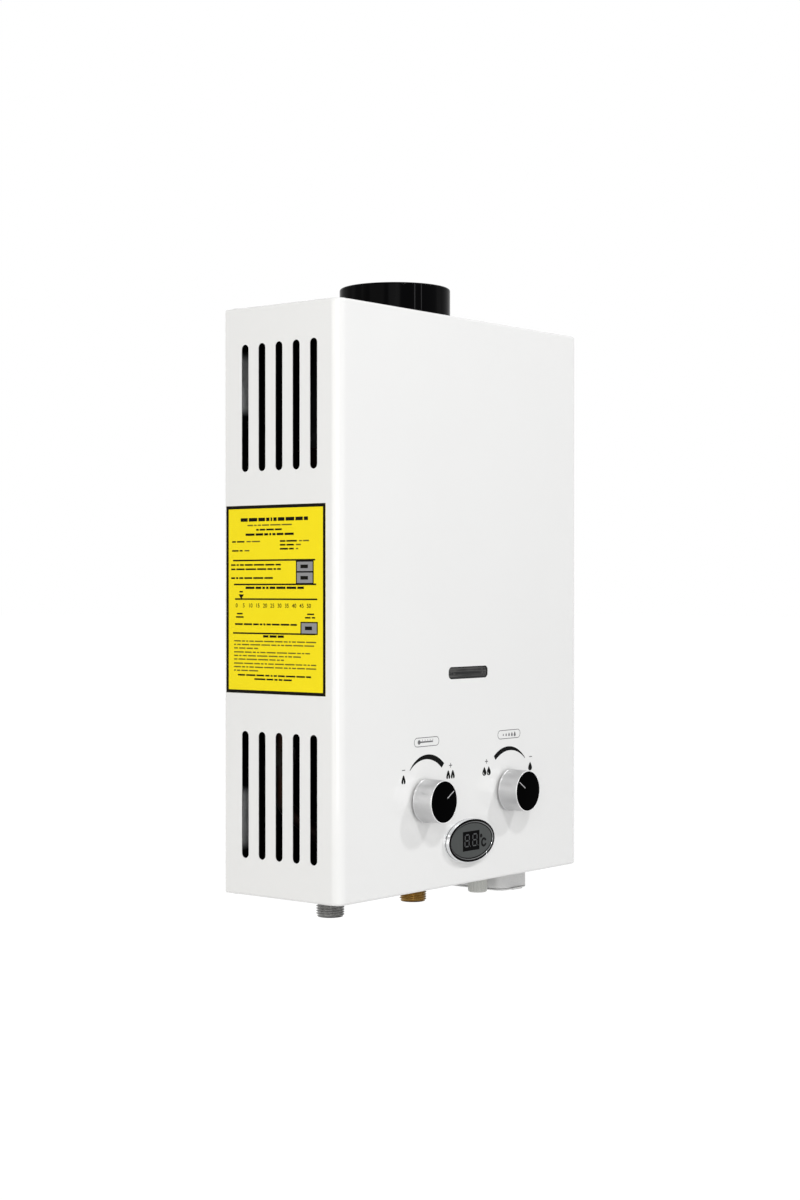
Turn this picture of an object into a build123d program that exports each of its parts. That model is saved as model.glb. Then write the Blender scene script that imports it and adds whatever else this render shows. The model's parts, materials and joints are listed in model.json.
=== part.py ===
from build123d import *

import os

os.makedirs("parts", exist_ok=True)

# Wall-hung instantaneous gas water heater, in millimetres.
# The origin is the middle of the wall face: +X to the right seen from the front, +Y into the wall, +Z up.

# Case
CASE_W = 300.0
CASE_H = 430.0
CASE_D = 110.0
COVER_SHEET = 0.8
PLATE_SHEET = 1.0
SHEET_GAP = 0.3
CORNER_R = 8.0
EDGE_R = 2.0
PAN_FLANGE = 9.0
FLOOR_LIP = 16.0
FLOOR_SIDE = 14.0
FLOOR_CORNER_R = 6.0
DECK_LIP = 8.0
DECK_FRONT = 12.0
BEAD_L = 200.0
BEAD_W = 16.0
BEAD_DEPTH = 3.0
BEAD_DROP = 21.0
BEAD_DOWN = 25.0

# Vent slots on both sides
SLOT_L = 93.0
SLOT_W = 6.9
SLOT_PITCH = 16.65
SLOT_COUNT = 5
SLOT_BACK = 19.8
SLOT_END = 27.3

# Wall fixing
KEY_X = 101.2
KEY_DROP = 34.0
KEY_ENTRY_R = 5.5
KEY_NECK_R = 2.8
KEY_RUN = 10.0
LOW_HOLE_UP = 30.0
LOW_HOLE_R = 3.0

# Cover screws
SCREW_SIDE = 8.0
SCREW_BACK = 4.6
SCREW_R = 1.9
SCREW_L = 7.0
SCREW_HEAD_R = 3.6
SCREW_HEAD_H = 1.2
SCREW_CLEAR = 0.3
THREAD_CLEAR = 0.06

# Flue collar and draught hood
HEAT_X = -18.5
FLUE_ROOM = 24.8
FLUE_WALL = 1.2
FLUE_RISE = 24.5
FLUE_BEAD_R = 1.5
FLUE_FOOT = 3.0
FLUE_STOP = 1.0
FLUE_STOP_UP = 2.0
FLUE_CLEAR = 2.0
HOOD_DROP = 9.0
HOOD_SHEET = 0.8
HOOD_SKIRT = 12.0
HOOD_NECK = 24.0
HOOD_MARGIN = 4.0
DRAUGHT_W = 60.0
DRAUGHT_H = 10.0

# Heat exchanger
BACK_GAP = 20.0
FRONT_GAP = 22.0
SIDE_ROOM = 75.0
JACKET_ROOM = 252.0
JACKET_SHEET = 0.8
JACKET_LIP = 4.0
JACKET_R = 8.0
FIN_COUNT = 12
FIN_T = 0.6
FIN_H = 42.0
FIN_DROP = 6.0
FIN_CLEAR = 0.1
FIN_HOLE_SIDES = 8
TUBE_R = 6.0
TUBE_ROWS = 3
TUBE_EDGE = 8.0
TUBE_STUB = 6.0
COIL_CLEAR = 0.5
COIL_UP = 24.0
COIL_PARTS = 12.7
COIL_OUT = 29.5
JOINT_DROP = 8.0
HOT_OUT = 30.0
COLD_BEND = 7.5

# Burner
BURNER_ROOM = 24.0
BAR_COUNT = 8
BAR_END = 10.0
BAR_T = 10.0
BAR_H = 34.0
BAR_TOP_R = 4.5
PORT_COUNT = 7
PORT_PITCH = 8.0
PORT_W = 1.6
PORT_DEPTH = 3.0
MOUTH_R = 3.6
MOUTH_DEPTH = 24.0
MOUTH_UP = 12.0
BURNER_GAP = 4.0
FRAME_H = 36.0
FRAME_SHEET = 1.0
NOZZLE_HOLE_R = 4.5
NOZZLE_R = 3.0
NOZZLE_TIP_R = 1.6
MANIFOLD_W = 12.0
MANIFOLD_GAP = 5.0
MANIFOLD_END = 6.0
EAR_W = 8.0

# Electrodes
SPARK_UP = 12.0
SPARK_SPREAD = 12.0
CERAMIC_R = 3.5
CERAMIC_COLLAR_R = 5.5
CERAMIC_COLLAR_T = 3.0
CERAMIC_OUT = 16.0
CERAMIC_IN = 14.0
PIN_R = 1.2
PIN_OUT = 4.0
PIN_IN = 10.0
PIN_CLEAR = 0.05

# Sight window
SIGHT_UP = 9.7
SIGHT_X = 1.5
SIGHT_W = 49.5
SIGHT_H = 9.2
SIGHT_R = 3.6
SIGHT_LAP = 4.0
GLASS_T = 2.5
FRAME_RIM = 4.0

# Knobs and spindles
KNOB_SHARE = 0.177
KNOB_UP = 67.5
KNOB_R = 16.2
KNOB_H = 17.2
KNOB_TAPER = 1.6
KNOB_GAP = 1.8
KNOB_EDGE_R = 0.3
KNOB_WALL = 2.0
KNOB_HUB_R = 5.5
KNOB_CAVITY = 11.0
CAP_R = 15.2
CAP_T = 1.6
CAP_CLEAR = 0.06
CAP_EDGE_R = 0.35
POINTER_W = 1.2
POINTER_L = 11.0
POINTER_IN = 3.0
POINTER_DEPTH = 0.3
TEMP_POINTER = 58.0
FLOW_POINTER = -56.0
SPINDLE_R = 3.0
SPINDLE_SEAT = 16.0
SPINDLE_FLAT = 0.8
SPINDLE_HOLE_CLEAR = 2.0
SPINDLE_CLEAR = 0.05
BOSS_R = 9.0
BOSS_L = 8.0

# Display
DISPLAY_UP = 33.6
DISPLAY_RX = 28.3
DISPLAY_RZ = 15.8
BEZEL_RISE = 5.8
BEZEL_RIM = 2.4
BEZEL_EDGE_R = 1.2
LENS_T = 3.0
LENS_SINK = 0.9
LENS_CLEAR = 0.1
MODULE_INSET = 1.2
MODULE_W = 50.0
MODULE_H = 27.0
MODULE_D = 13.0
MODULE_R = 3.0

# Valves
VALVE_DROP = 24.5
VALVE_RISE = 21.5
VALVE_EDGE_R = 3.0
GAS_END = 24.9
GAS_BACK = 38.0
GAS_FRONT = 26.0
GAS_OUT_X = -30.0
GAS_OUT_IN = 12.0
GAS_PIPE_R = 4.5
GAS_PIPE_BEND = 7.0
OUTLET_BOSS_R = 8.0
OUTLET_BOSS_H = 4.0
SOLENOID_R = 13.0
SOLENOID_L = 24.0
SOLENOID_CAP_R = 8.0
SOLENOID_CAP_L = 5.0
WATER_IN = 17.1
WATER_W = 30.0
WATER_BACK = 44.0
WATER_FRONT = 20.0
ARM_R = 9.0
COLD_OUT_IN = 2.9
COLD_OUT_BACK = 58.0

# Water and gas link
LINK_BACK = 60.0
LINK_ROOM = 24.0
CHAMBER_R = 22.0
CHAMBER_HOLLOW_R = 16.0
CHAMBER_WALL = 1.2
CHAMBER_L = 8.0
FLANGE_T = 2.8
DIAPHRAGM_T = 1.2
BOLT_COUNT = 6
BOLT_TURN = 30.0
BOLT_R = 2.2
BOLT_T = 1.6
BOLT_PCD_R = 19.0
ROD_R = 2.0
ROD_CLEAR = 0.05
ROD_INSIDE = 16.0
ROD_TRAVEL = 3.5
ROD_END_ROOM = 2.0
ROD_PLATE_R = 13.0
ROD_PLATE_T = 2.0
ROD_PLATE_GAP = 0.3
ROD_COLLAR_R = 5.0
ROD_COLLAR_T = 2.0
ROD_COLLAR_OUT = 3.0
LEVER_GAP = 0.4
LEVER_T = 1.0
LEVER_W = 6.0
LEVER_CLEAR = 0.4
PIVOT_UP = 8.0
PIVOT_R = 1.2
PIVOT_CLEAR = 0.05
PIVOT_EYE_R = 2.2
SWITCH_L = 20.0
SWITCH_H = 11.0
SWITCH_W = 11.6
CHEEK_T = 2.0

# Connections under the case
CONNECT_BACK = 57.0
CONNECT_DROP = 18.0
HOT_SIDE = 52.0
GAS_X = 0.0
COLD_SIDE = 28.0
COLD_ROOM = 16.2
FIT_R = 10.478
SHANK_R = 11.2
FIT_CLEAR = 0.3
FIT_BORE_R = 6.5
FIT_CHAMFER = 1.0
HEX_R = 13.0
HEX_H = 7.0
HEX_TURN = 30.0
HEX_SIDES = 6
NUT_H = 5.0
SPIGOT_H = 10.0
UNION_R = 7.8
UNION_H = 12.0
FILTER_R = 6.3
FILTER_WALL = 1.0
FILTER_L = 16.0
FILTER_RIM = 2.0

# Drain cap
DRAIN_FRONT = 30.0
DRAIN_R = 8.4
DRAIN_ROOM = 6.5
DRAIN_TAPER = 4.0
DRAIN_DROP = 15.0
DRAIN_TOP_GAP = 0.6
DRAIN_EDGE_R = 1.2
DRAIN_STEM_R = 5.0
DRAIN_STEM_IN = 12.0
DRAIN_STEM_CLEAR = 0.05
DRAIN_HOLE_CLEAR = 1.0
COIN_W = 2.0
COIN_L = 10.0
COIN_DEPTH = 3.0

# Battery box
BATTERY_FRONT = 17.2
BATTERY_BACK = 22.8
BATTERY_WALL = 1.2
BATTERY_R = 8.5
BATTERY_ROOM = 3.8
BATTERY_DROP = 13.8
BATTERY_FLANGE = 1.2
BATTERY_FLANGE_T = 1.6
DECK_CLEAR = 0.4
LID_T = 1.4
LID_GAP = 0.3
LID_EDGE_R = 0.8
LID_TAB_W = 12.0
LID_TAB_L = 2.0
HINGE_R = 2.4
HINGE_PIN_R = 1.0
HINGE_CLEAR = 0.4
HINGE_PIN_CLEAR = 0.05
LUG_W = 7.0
LUG_SIDE = 2.0
LUG_GAP = 0.5
CONTACT_W = 12.0
CONTACT_L = 22.0
CONTACT_T = 0.8
CONTACT_BUTTON_R = 5.0
CONTACT_BUTTON_H = 1.5
CONTACT_TAPER = 20.0
CELL_GAP = 0.5
BRIDGE_W = 11.0

# Ignition, sensors and feet
IGNITER_SIDE = 10.0
IGNITER_W = 36.0
IGNITER_D = 30.0
IGNITER_H = 80.0
IGNITER_UP = 120.0
IGNITER_R = 3.0
LEAD_R = 1.5
LEAD_PARTS = 5.5
STAT_R = 8.0
STAT_T = 6.0
STAT_DROP = 54.0
STAT_FLANGE_R = 11.0
STAT_FLANGE_T = 1.2
SENSOR_R = 8.5
SENSOR_H = 12.0
SENSOR_CLEAR = 0.05
SENSOR_UP = 95.0
SENSOR_PROBE_R = 3.0
SENSOR_PROBE_L = 8.0
FOOT_W = 24.0
FOOT_H = 16.0
FOOT_SHEET = 1.5
FOOT_IN = 25.0
FOOT_DROP = 40.0

# Places worked out from the sizes above
half_w = CASE_W / 2
top_z = CASE_H / 2
floor_z = -CASE_H / 2
front_in = CASE_D - COVER_SHEET
pan_w = CASE_W - 2 * (COVER_SHEET + SHEET_GAP)
pan_h = CASE_H - 2 * (COVER_SHEET + SHEET_GAP)
deck_z = floor_z + COVER_SHEET + SHEET_GAP + PLATE_SHEET
deck_top = deck_z + PLATE_SHEET
slot_mid = top_z - SLOT_END - SLOT_L / 2
bead_up = top_z - KEY_DROP - BEAD_DROP
slot_mid_y = -(SLOT_BACK + (SLOT_COUNT - 1) / 2 * SLOT_PITCH)
screw_x = half_w - SCREW_SIDE
knob_x = CASE_W * KNOB_SHARE
knob_z = floor_z + KNOB_UP
display_z = floor_z + DISPLAY_UP
valve_floor = knob_z - VALVE_DROP
valve_top = knob_z + VALVE_RISE
jacket_w = CASE_W - 2 * SIDE_ROOM
jacket_h = CASE_H - JACKET_ROOM
jacket_d = CASE_D - BACK_GAP - FRONT_GAP
jacket_front = -(BACK_GAP + jacket_d)
jacket_left = HEAT_X - jacket_w / 2
jacket_right = HEAT_X + jacket_w / 2
heat_y = -(BACK_GAP + jacket_d / 2)
burner_floor = valve_top + BURNER_ROOM
bar_top = burner_floor + BAR_H
mouth_z = burner_floor + MOUTH_UP
jacket_floor = bar_top + BURNER_GAP
jacket_top = jacket_floor + jacket_h
hood_top = top_z - HOOD_DROP
flue_top = top_z + FLUE_RISE
flue_od = CASE_D - FLUE_ROOM
neck_w = flue_od + 2 * HOOD_MARGIN
notch_r = flue_od / 2 + FLUE_STOP + FLUE_CLEAR
fin_z = jacket_top - FIN_DROP - FIN_H / 2
tube_pitch = (jacket_d - TUBE_EDGE) / TUBE_ROWS
bar_pitch = (jacket_w - BAR_END) / BAR_COUNT
sight_z = jacket_floor + SIGHT_UP
frame_floor = jacket_floor - FRAME_H
manifold_back = jacket_front - MANIFOLD_GAP
manifold_floor = mouth_z - MANIFOLD_W / 2
manifold_l = (BAR_COUNT - 1) * bar_pitch + 2 * MANIFOLD_END
connect_y = -CONNECT_BACK
connect_floor = floor_z - CONNECT_DROP
hot_x = HOT_SIDE - half_w
cold_x = half_w - COLD_SIDE
fitting_top = deck_top + HEX_H + SPIGOT_H
gas_d = CASE_D - GAS_FRONT - GAS_BACK
gas_front = -(GAS_BACK + gas_d)
gas_out_y = gas_front + GAS_OUT_IN
gas_left = -knob_x - GAS_END
water_d = CASE_D - WATER_FRONT - WATER_BACK
water_front = -(WATER_BACK + water_d)
water_left = knob_x - WATER_IN
gas_right = water_left - LINK_ROOM
cold_out_x = knob_x + COLD_OUT_IN
water_right = water_left + WATER_W
flange_left = water_left - FLANGE_T
diaphragm_left = flange_left - DIAPHRAGM_T
chamber_left = diaphragm_left - CHAMBER_L
link_y = -LINK_BACK
collar_left = chamber_left - ROD_COLLAR_OUT - ROD_COLLAR_T
lever_x = collar_left - LEVER_GAP - LEVER_T / 2
pivot_z = valve_top + PIVOT_UP
lever_floor = knob_z + ROD_R + LEVER_CLEAR
knob_back = CASE_D + KNOB_GAP
knob_front = knob_back + KNOB_H
spindle_front = knob_back + KNOB_CAVITY
battery_left = knob_x + DRAIN_R + DRAIN_ROOM
battery_w = cold_x - COLD_ROOM - battery_left
battery_d = CASE_D - BATTERY_FRONT - BATTERY_BACK
battery_x = battery_left + battery_w / 2
battery_front = -(CASE_D - BATTERY_FRONT)
cell_pitch = battery_d / 2 - CELL_GAP
battery_back = battery_front + battery_d
battery_y = battery_front + battery_d / 2
battery_floor = floor_z - BATTERY_DROP
battery_top = knob_z - ARM_R - BATTERY_ROOM
bay_roof = battery_top - BATTERY_WALL
lid_top = battery_floor - LID_GAP
hinge_y = battery_back + HINGE_R + HINGE_CLEAR
hinge_z = battery_floor - LID_GAP / 2
drain_y = -(CASE_D - DRAIN_FRONT)
drain_top = floor_z - DRAIN_TOP_GAP
igniter_right = half_w - IGNITER_SIDE
igniter_left = igniter_right - IGNITER_W
igniter_z = floor_z + IGNITER_UP + IGNITER_H / 2
spark_z = jacket_floor + SPARK_UP
coil_bend = JACKET_R + TUBE_R + COIL_CLEAR
coil_right = jacket_right + TUBE_R + COIL_CLEAR
coil_left = jacket_left - TUBE_R - COIL_CLEAR
coil_front = jacket_front - TUBE_R - COIL_CLEAR
coil_back = -BACK_GAP + TUBE_R + COIL_CLEAR
coil_z = jacket_floor + COIL_UP
coil_step = (fin_z - coil_z) / COIL_PARTS
cold_joint_z = jacket_floor - JOINT_DROP
hot_pipe_x = jacket_left - HOT_OUT
sensor_z = floor_z + SENSOR_UP


def finish(piece, label):
    """Labels a finished piece and writes it to its own file."""
    piece.part.label = label
    export_step(piece.part, f"parts/{label}.step")


def case_block(inset):
    """Returns the case's outer form, drawn in by inset on every side but the wall side."""
    with BuildPart() as block:
        with BuildSketch(Plane.XY.offset(floor_z + inset)) as outline:
            with Locations((0, -(CASE_D - inset) / 2)):
                Rectangle(CASE_W - 2 * inset, CASE_D - inset)
            fillet(outline.vertices().sort_by(Axis.Y)[:2], CORNER_R - inset)
        extrude(amount=CASE_H - 2 * inset)
        top_rim = block.faces().sort_by(Axis.Z)[-1].edges().sort_by(Axis.Y)[:-1]
        floor_rim = block.faces().sort_by(Axis.Z)[0].edges().sort_by(Axis.Y)[:-1]
        fillet(top_rim + floor_rim, EDGE_R - inset)
    return block.part


def pipe(points, bend, radius):
    """Returns a round pipe along straight runs with rounded bends."""
    with BuildPart() as run:
        with BuildLine():
            route = FilletPolyline(*points, radius=bend)
        with BuildSketch(Plane(origin=route @ 0, z_dir=route % 0)):
            Circle(radius)
        sweep()
    return run


# Front cover: one folded sheet with vent slots, sight slot, display hole and knob holes
case_outside = case_block(0)
case_inside = case_block(COVER_SHEET)
with BuildPart() as front_cover:
    add(case_outside)
    add(case_inside, mode=Mode.SUBTRACT)
    with BuildSketch(Plane.YZ):
        with Locations((slot_mid_y, 0)):
            with GridLocations(SLOT_PITCH, 2 * slot_mid, SLOT_COUNT, 2):
                SlotOverall(SLOT_L, SLOT_W, rotation=90)
    extrude(amount=CASE_W, both=True, mode=Mode.SUBTRACT)
    with BuildSketch(Plane.XZ.offset(CASE_D)):
        with Locations((SIGHT_X, sight_z)):
            RectangleRounded(SIGHT_W, SIGHT_H, SIGHT_R)
        with Locations((-knob_x, knob_z), (knob_x, knob_z)):
            Circle(SPINDLE_R + SPINDLE_HOLE_CLEAR)
        with Locations((0, display_z)):
            Ellipse(DISPLAY_RX - BEZEL_RIM - MODULE_INSET, DISPLAY_RZ - BEZEL_RIM - MODULE_INSET)
    extrude(amount=-2 * COVER_SHEET, mode=Mode.SUBTRACT)
    with BuildSketch(Plane.XY.offset(top_z)):
        with Locations((HEAT_X, heat_y)):
            Circle(notch_r)
        with Locations((HEAT_X, heat_y / 2)):
            Rectangle(2 * notch_r, -heat_y)
        with Locations((-screw_x, -SCREW_BACK), (screw_x, -SCREW_BACK)):
            Circle(SCREW_R + SCREW_CLEAR)
    extrude(amount=-2 * COVER_SHEET, mode=Mode.SUBTRACT)
    with BuildSketch(Plane.XY.offset(floor_z)) as floor_opening:
        with Locations((0, -(CASE_D - FLOOR_LIP) / 2)):
            Rectangle(CASE_W - 2 * FLOOR_SIDE, CASE_D - FLOOR_LIP)
        fillet(floor_opening.vertices().sort_by(Axis.Y)[:2], FLOOR_CORNER_R)
        with Locations((-screw_x, -SCREW_BACK), (screw_x, -SCREW_BACK)):
            Circle(SCREW_R + SCREW_CLEAR)
    extrude(amount=2 * COVER_SHEET, mode=Mode.SUBTRACT)
finish(front_cover, "front_cover")

# Wall pan with pressed beads, key holes above and round holes below
with BuildPart() as back_plate:
    with BuildSketch(Plane.XZ):
        RectangleRounded(pan_w, pan_h, EDGE_R)
    extrude(amount=PAN_FLANGE)
    with BuildSketch(Plane.XZ.offset(PLATE_SHEET)):
        Rectangle(pan_w - 2 * PLATE_SHEET, pan_h - 2 * PLATE_SHEET)
    extrude(amount=PAN_FLANGE, mode=Mode.SUBTRACT)
    with BuildSketch(Plane.XZ.offset(PLATE_SHEET)):
        with Locations((0, bead_up), (0, -BEAD_DOWN)):
            SlotOverall(BEAD_L, BEAD_W)
    extrude(amount=BEAD_DEPTH)
    with BuildSketch(Plane.XZ):
        with Locations((0, bead_up), (0, -BEAD_DOWN)):
            SlotOverall(BEAD_L - 2 * PLATE_SHEET, BEAD_W - 2 * PLATE_SHEET)
    extrude(amount=BEAD_DEPTH, mode=Mode.SUBTRACT)
    with BuildSketch(Plane.XZ):
        for side in (-1, 1):
            with Locations((side * KEY_X, top_z - KEY_DROP)):
                Circle(KEY_ENTRY_R)
            with Locations((side * KEY_X, top_z - KEY_DROP + KEY_RUN / 2)):
                SlotCenterToCenter(KEY_RUN, 2 * KEY_NECK_R, rotation=90)
            with Locations((side * KEY_X, floor_z + LOW_HOLE_UP)):
                Circle(LOW_HOLE_R)
    extrude(amount=PLATE_SHEET, mode=Mode.SUBTRACT)
    with BuildSketch(Plane.XY):
        with Locations((-screw_x, -SCREW_BACK), (screw_x, -SCREW_BACK)):
            Circle(SCREW_R + THREAD_CLEAR)
    extrude(amount=CASE_H, both=True, mode=Mode.SUBTRACT)
finish(back_plate, "back_plate")

# Deck: the plate under the pipes, turned up along its front edge
deck_w = pan_w - 2 * (PLATE_SHEET + SHEET_GAP)
deck_d = CASE_D - DECK_FRONT - PLATE_SHEET
with BuildPart() as bottom_plate:
    with BuildSketch(Plane.XY.offset(deck_z)):
        with Locations((0, -PLATE_SHEET - deck_d / 2)):
            Rectangle(deck_w, deck_d)
    extrude(amount=PLATE_SHEET)
    with BuildSketch(Plane.XZ.offset(PLATE_SHEET + deck_d)):
        with Locations((0, deck_z + DECK_LIP / 2)):
            Rectangle(deck_w, DECK_LIP)
    extrude(amount=-PLATE_SHEET)
    with BuildSketch(Plane.XY.offset(deck_z)):
        with Locations((hot_x, connect_y), (GAS_X, connect_y), (cold_x, connect_y)):
            Circle(SHANK_R + FIT_CLEAR)
        with Locations((knob_x, drain_y)):
            Circle(DRAIN_STEM_R + DRAIN_HOLE_CLEAR)
        with Locations((-screw_x, -SCREW_BACK), (screw_x, -SCREW_BACK)):
            Circle(SCREW_R + THREAD_CLEAR)
        with Locations((battery_x, battery_y)):
            RectangleRounded(battery_w + 2 * DECK_CLEAR, battery_d + 2 * DECK_CLEAR, BATTERY_R)
    extrude(amount=PLATE_SHEET, mode=Mode.SUBTRACT)
finish(bottom_plate, "bottom_plate")

# Cover screws, from above and from below
with BuildPart() as cover_screws:
    for face_z, way in ((top_z, 1), (floor_z, -1)):
        with BuildSketch(Plane.XY.offset(face_z)):
            with Locations((-screw_x, -SCREW_BACK), (screw_x, -SCREW_BACK)):
                Circle(SCREW_R)
        extrude(amount=-way * SCREW_L)
        with BuildSketch(Plane.XY.offset(face_z)):
            with Locations((-screw_x, -SCREW_BACK), (screw_x, -SCREW_BACK)):
                Circle(SCREW_HEAD_R)
        extrude(amount=way * SCREW_HEAD_H)
    head_rims = cover_screws.edges().group_by(Axis.Z)
    fillet(head_rims[-1] + head_rims[0], SCREW_HEAD_H / 2)
finish(cover_screws, "cover_screws")

# Flue collar: a tube with a foot on the hood, a stop ring at the case's top and a rolled upper rim
flue_r = flue_od / 2
with BuildPart() as flue_collar:
    with BuildSketch(Plane.XY.offset(hood_top)):
        with Locations((HEAT_X, heat_y)):
            Circle(flue_r)
            Circle(flue_r - FLUE_WALL, mode=Mode.SUBTRACT)
    extrude(amount=flue_top - hood_top)
    with BuildSketch(Plane.XY.offset(hood_top)):
        with Locations((HEAT_X, heat_y)):
            Circle(flue_r + FLUE_FOOT)
            Circle(flue_r - FLUE_WALL, mode=Mode.SUBTRACT)
    extrude(amount=HOOD_SHEET)
    with BuildSketch(Plane.XY.offset(hood_top)):
        with Locations((HEAT_X, heat_y)):
            Circle(flue_r + FLUE_STOP)
            Circle(flue_r - FLUE_WALL, mode=Mode.SUBTRACT)
    extrude(amount=top_z + FLUE_STOP_UP - hood_top)
    with BuildSketch(Plane.XZ.offset(-heat_y)):
        with Locations((HEAT_X + flue_r - FLUE_BEAD_R, flue_top - FLUE_BEAD_R)):
            Circle(FLUE_BEAD_R)
    revolve(axis=Axis((HEAT_X, heat_y, 0), (0, 0, 1)))
finish(flue_collar, "flue_collar")


def hood_block(inset):
    """Returns the hood's tapering form, drawn in by inset at its sides."""
    taper_floor = jacket_top + HOOD_SKIRT
    neck_floor = hood_top - HOOD_NECK
    with BuildPart() as block:
        with BuildSketch(Plane.XY.offset(jacket_top)):
            with Locations((HEAT_X, heat_y)):
                RectangleRounded(jacket_w - 2 * inset, jacket_d - 2 * inset, JACKET_R - inset)
        extrude(amount=HOOD_SKIRT)
        with BuildSketch(Plane.XY.offset(taper_floor)):
            with Locations((HEAT_X, heat_y)):
                RectangleRounded(jacket_w - 2 * inset, jacket_d - 2 * inset, JACKET_R - inset)
        with BuildSketch(Plane.XY.offset(neck_floor)):
            with Locations((HEAT_X, heat_y)):
                RectangleRounded(neck_w - 2 * inset, neck_w - 2 * inset, JACKET_R - inset)
        loft(ruled=True)
        with BuildSketch(Plane.XY.offset(neck_floor)):
            with Locations((HEAT_X, heat_y)):
                RectangleRounded(neck_w - 2 * inset, neck_w - 2 * inset, JACKET_R - inset)
        extrude(amount=HOOD_NECK - inset)
    return block.part


# Draught hood between the exchanger and the collar
hood_outside = hood_block(0)
hood_inside = hood_block(HOOD_SHEET)
with BuildPart() as draft_hood:
    add(hood_outside)
    add(hood_inside, mode=Mode.SUBTRACT)
    with BuildSketch(Plane.XY.offset(hood_top)):
        with Locations((HEAT_X, heat_y)):
            Circle(flue_r - FLUE_WALL)
    extrude(amount=-2 * HOOD_SHEET, mode=Mode.SUBTRACT)
    with BuildSketch(Plane.XZ.offset(-heat_y)):
        with Locations((HEAT_X, hood_top - HOOD_NECK / 2)):
            Rectangle(DRAUGHT_W, DRAUGHT_H)
    extrude(amount=neck_w, mode=Mode.SUBTRACT)
finish(draft_hood, "draft_hood")

# Exchanger jacket: a copper sleeve with a sight hole, tube holes and electrode holes
tube_rows = [heat_y - tube_pitch, heat_y, heat_y + tube_pitch]
spark_rows = [heat_y - SPARK_SPREAD, heat_y + SPARK_SPREAD]
with BuildPart() as exchanger_jacket:
    with BuildSketch(Plane.XY.offset(jacket_floor)):
        with Locations((HEAT_X, heat_y)):
            RectangleRounded(jacket_w, jacket_d, JACKET_R)
    extrude(amount=jacket_h)
    with BuildSketch(Plane.XY.offset(jacket_top)):
        with Locations((HEAT_X, heat_y)):
            RectangleRounded(jacket_w + 2 * JACKET_LIP, jacket_d + 2 * JACKET_LIP, JACKET_R + JACKET_LIP)
    extrude(amount=-JACKET_SHEET)
    with BuildSketch(Plane.XY.offset(jacket_floor)):
        with Locations((HEAT_X, heat_y)):
            RectangleRounded(
                jacket_w - 2 * JACKET_SHEET, jacket_d - 2 * JACKET_SHEET, JACKET_R - JACKET_SHEET
            )
    extrude(amount=jacket_h, mode=Mode.SUBTRACT)
    with BuildSketch(Plane.YZ.offset(HEAT_X)):
        with Locations(*[(row, fin_z) for row in tube_rows]):
            Circle(TUBE_R + FIN_CLEAR)
    extrude(amount=jacket_w, both=True, mode=Mode.SUBTRACT)
    with BuildSketch(Plane.YZ.offset(HEAT_X)):
        with Locations(*[(row, spark_z) for row in spark_rows]):
            Circle(CERAMIC_R + FIT_CLEAR)
    extrude(amount=jacket_w, mode=Mode.SUBTRACT)
    with BuildSketch(Plane.XZ.offset(-heat_y)):
        with Locations((SIGHT_X, sight_z)):
            RectangleRounded(SIGHT_W, SIGHT_H, SIGHT_R)
    extrude(amount=jacket_d, mode=Mode.SUBTRACT)
finish(exchanger_jacket, "exchanger_jacket")

# Fins: thin plates across the tubes, each with its row of holes
fin_pitch = (jacket_w - 2 * JACKET_SHEET) / (FIN_COUNT + 1)
fin_left = HEAT_X - (FIN_COUNT - 1) / 2 * fin_pitch
with BuildPart() as exchanger_fins:
    for number in range(FIN_COUNT):
        with BuildSketch(Plane.YZ.offset(fin_left + number * fin_pitch - FIN_T / 2)):
            with Locations((heat_y, fin_z)):
                Rectangle(jacket_d - 2 * (JACKET_SHEET + FIN_CLEAR), FIN_H)
            with Locations(*[(row, fin_z) for row in tube_rows]):
                RegularPolygon(TUBE_R + FIN_CLEAR, FIN_HOLE_SIDES, major_radius=False, mode=Mode.SUBTRACT)
        extrude(amount=FIN_T)
finish(exchanger_fins, "exchanger_fins")

# Serpentine: three runs through the fins with two return bends
run_left = jacket_left - TUBE_STUB
run_right = jacket_right + TUBE_STUB
with BuildPart() as serpentine_tube:
    with BuildLine(Plane.XY.offset(fin_z)) as serpentine:
        Line((run_right, tube_rows[0]), (run_left, tube_rows[0]))
        ThreePointArc(
            (run_left, tube_rows[0]),
            (run_left - tube_pitch / 2, tube_rows[0] + tube_pitch / 2),
            (run_left, tube_rows[1]),
        )
        Line((run_left, tube_rows[1]), (run_right, tube_rows[1]))
        ThreePointArc(
            (run_right, tube_rows[1]),
            (run_right + tube_pitch / 2, tube_rows[1] + tube_pitch / 2),
            (run_right, tube_rows[2]),
        )
        Line((run_right, tube_rows[2]), (run_left, tube_rows[2]))
    with BuildSketch(Plane(origin=(run_right, tube_rows[0], fin_z), z_dir=(-1, 0, 0))):
        Circle(TUBE_R)
    sweep()
finish(serpentine_tube, "serpentine_tube")

# Coil: one rising turn of tube around the jacket, then up to the serpentine
coil_points = [
    (coil_right, coil_back, cold_joint_z),
    (coil_right, coil_back, coil_z),
    (coil_right, coil_front, coil_z + coil_step),
    (coil_left, coil_front, coil_z + 2 * coil_step),
    (coil_left, coil_back, coil_z + 3 * coil_step),
    (coil_right, coil_back, coil_z + 4 * coil_step),
    (jacket_right + COIL_OUT, tube_rows[0], coil_z + 5 * coil_step),
    (jacket_right + COIL_OUT, tube_rows[0], fin_z),
    (run_right, tube_rows[0], fin_z),
]
jacket_coil = pipe(coil_points, coil_bend, TUBE_R)
finish(jacket_coil, "jacket_coil")

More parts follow.
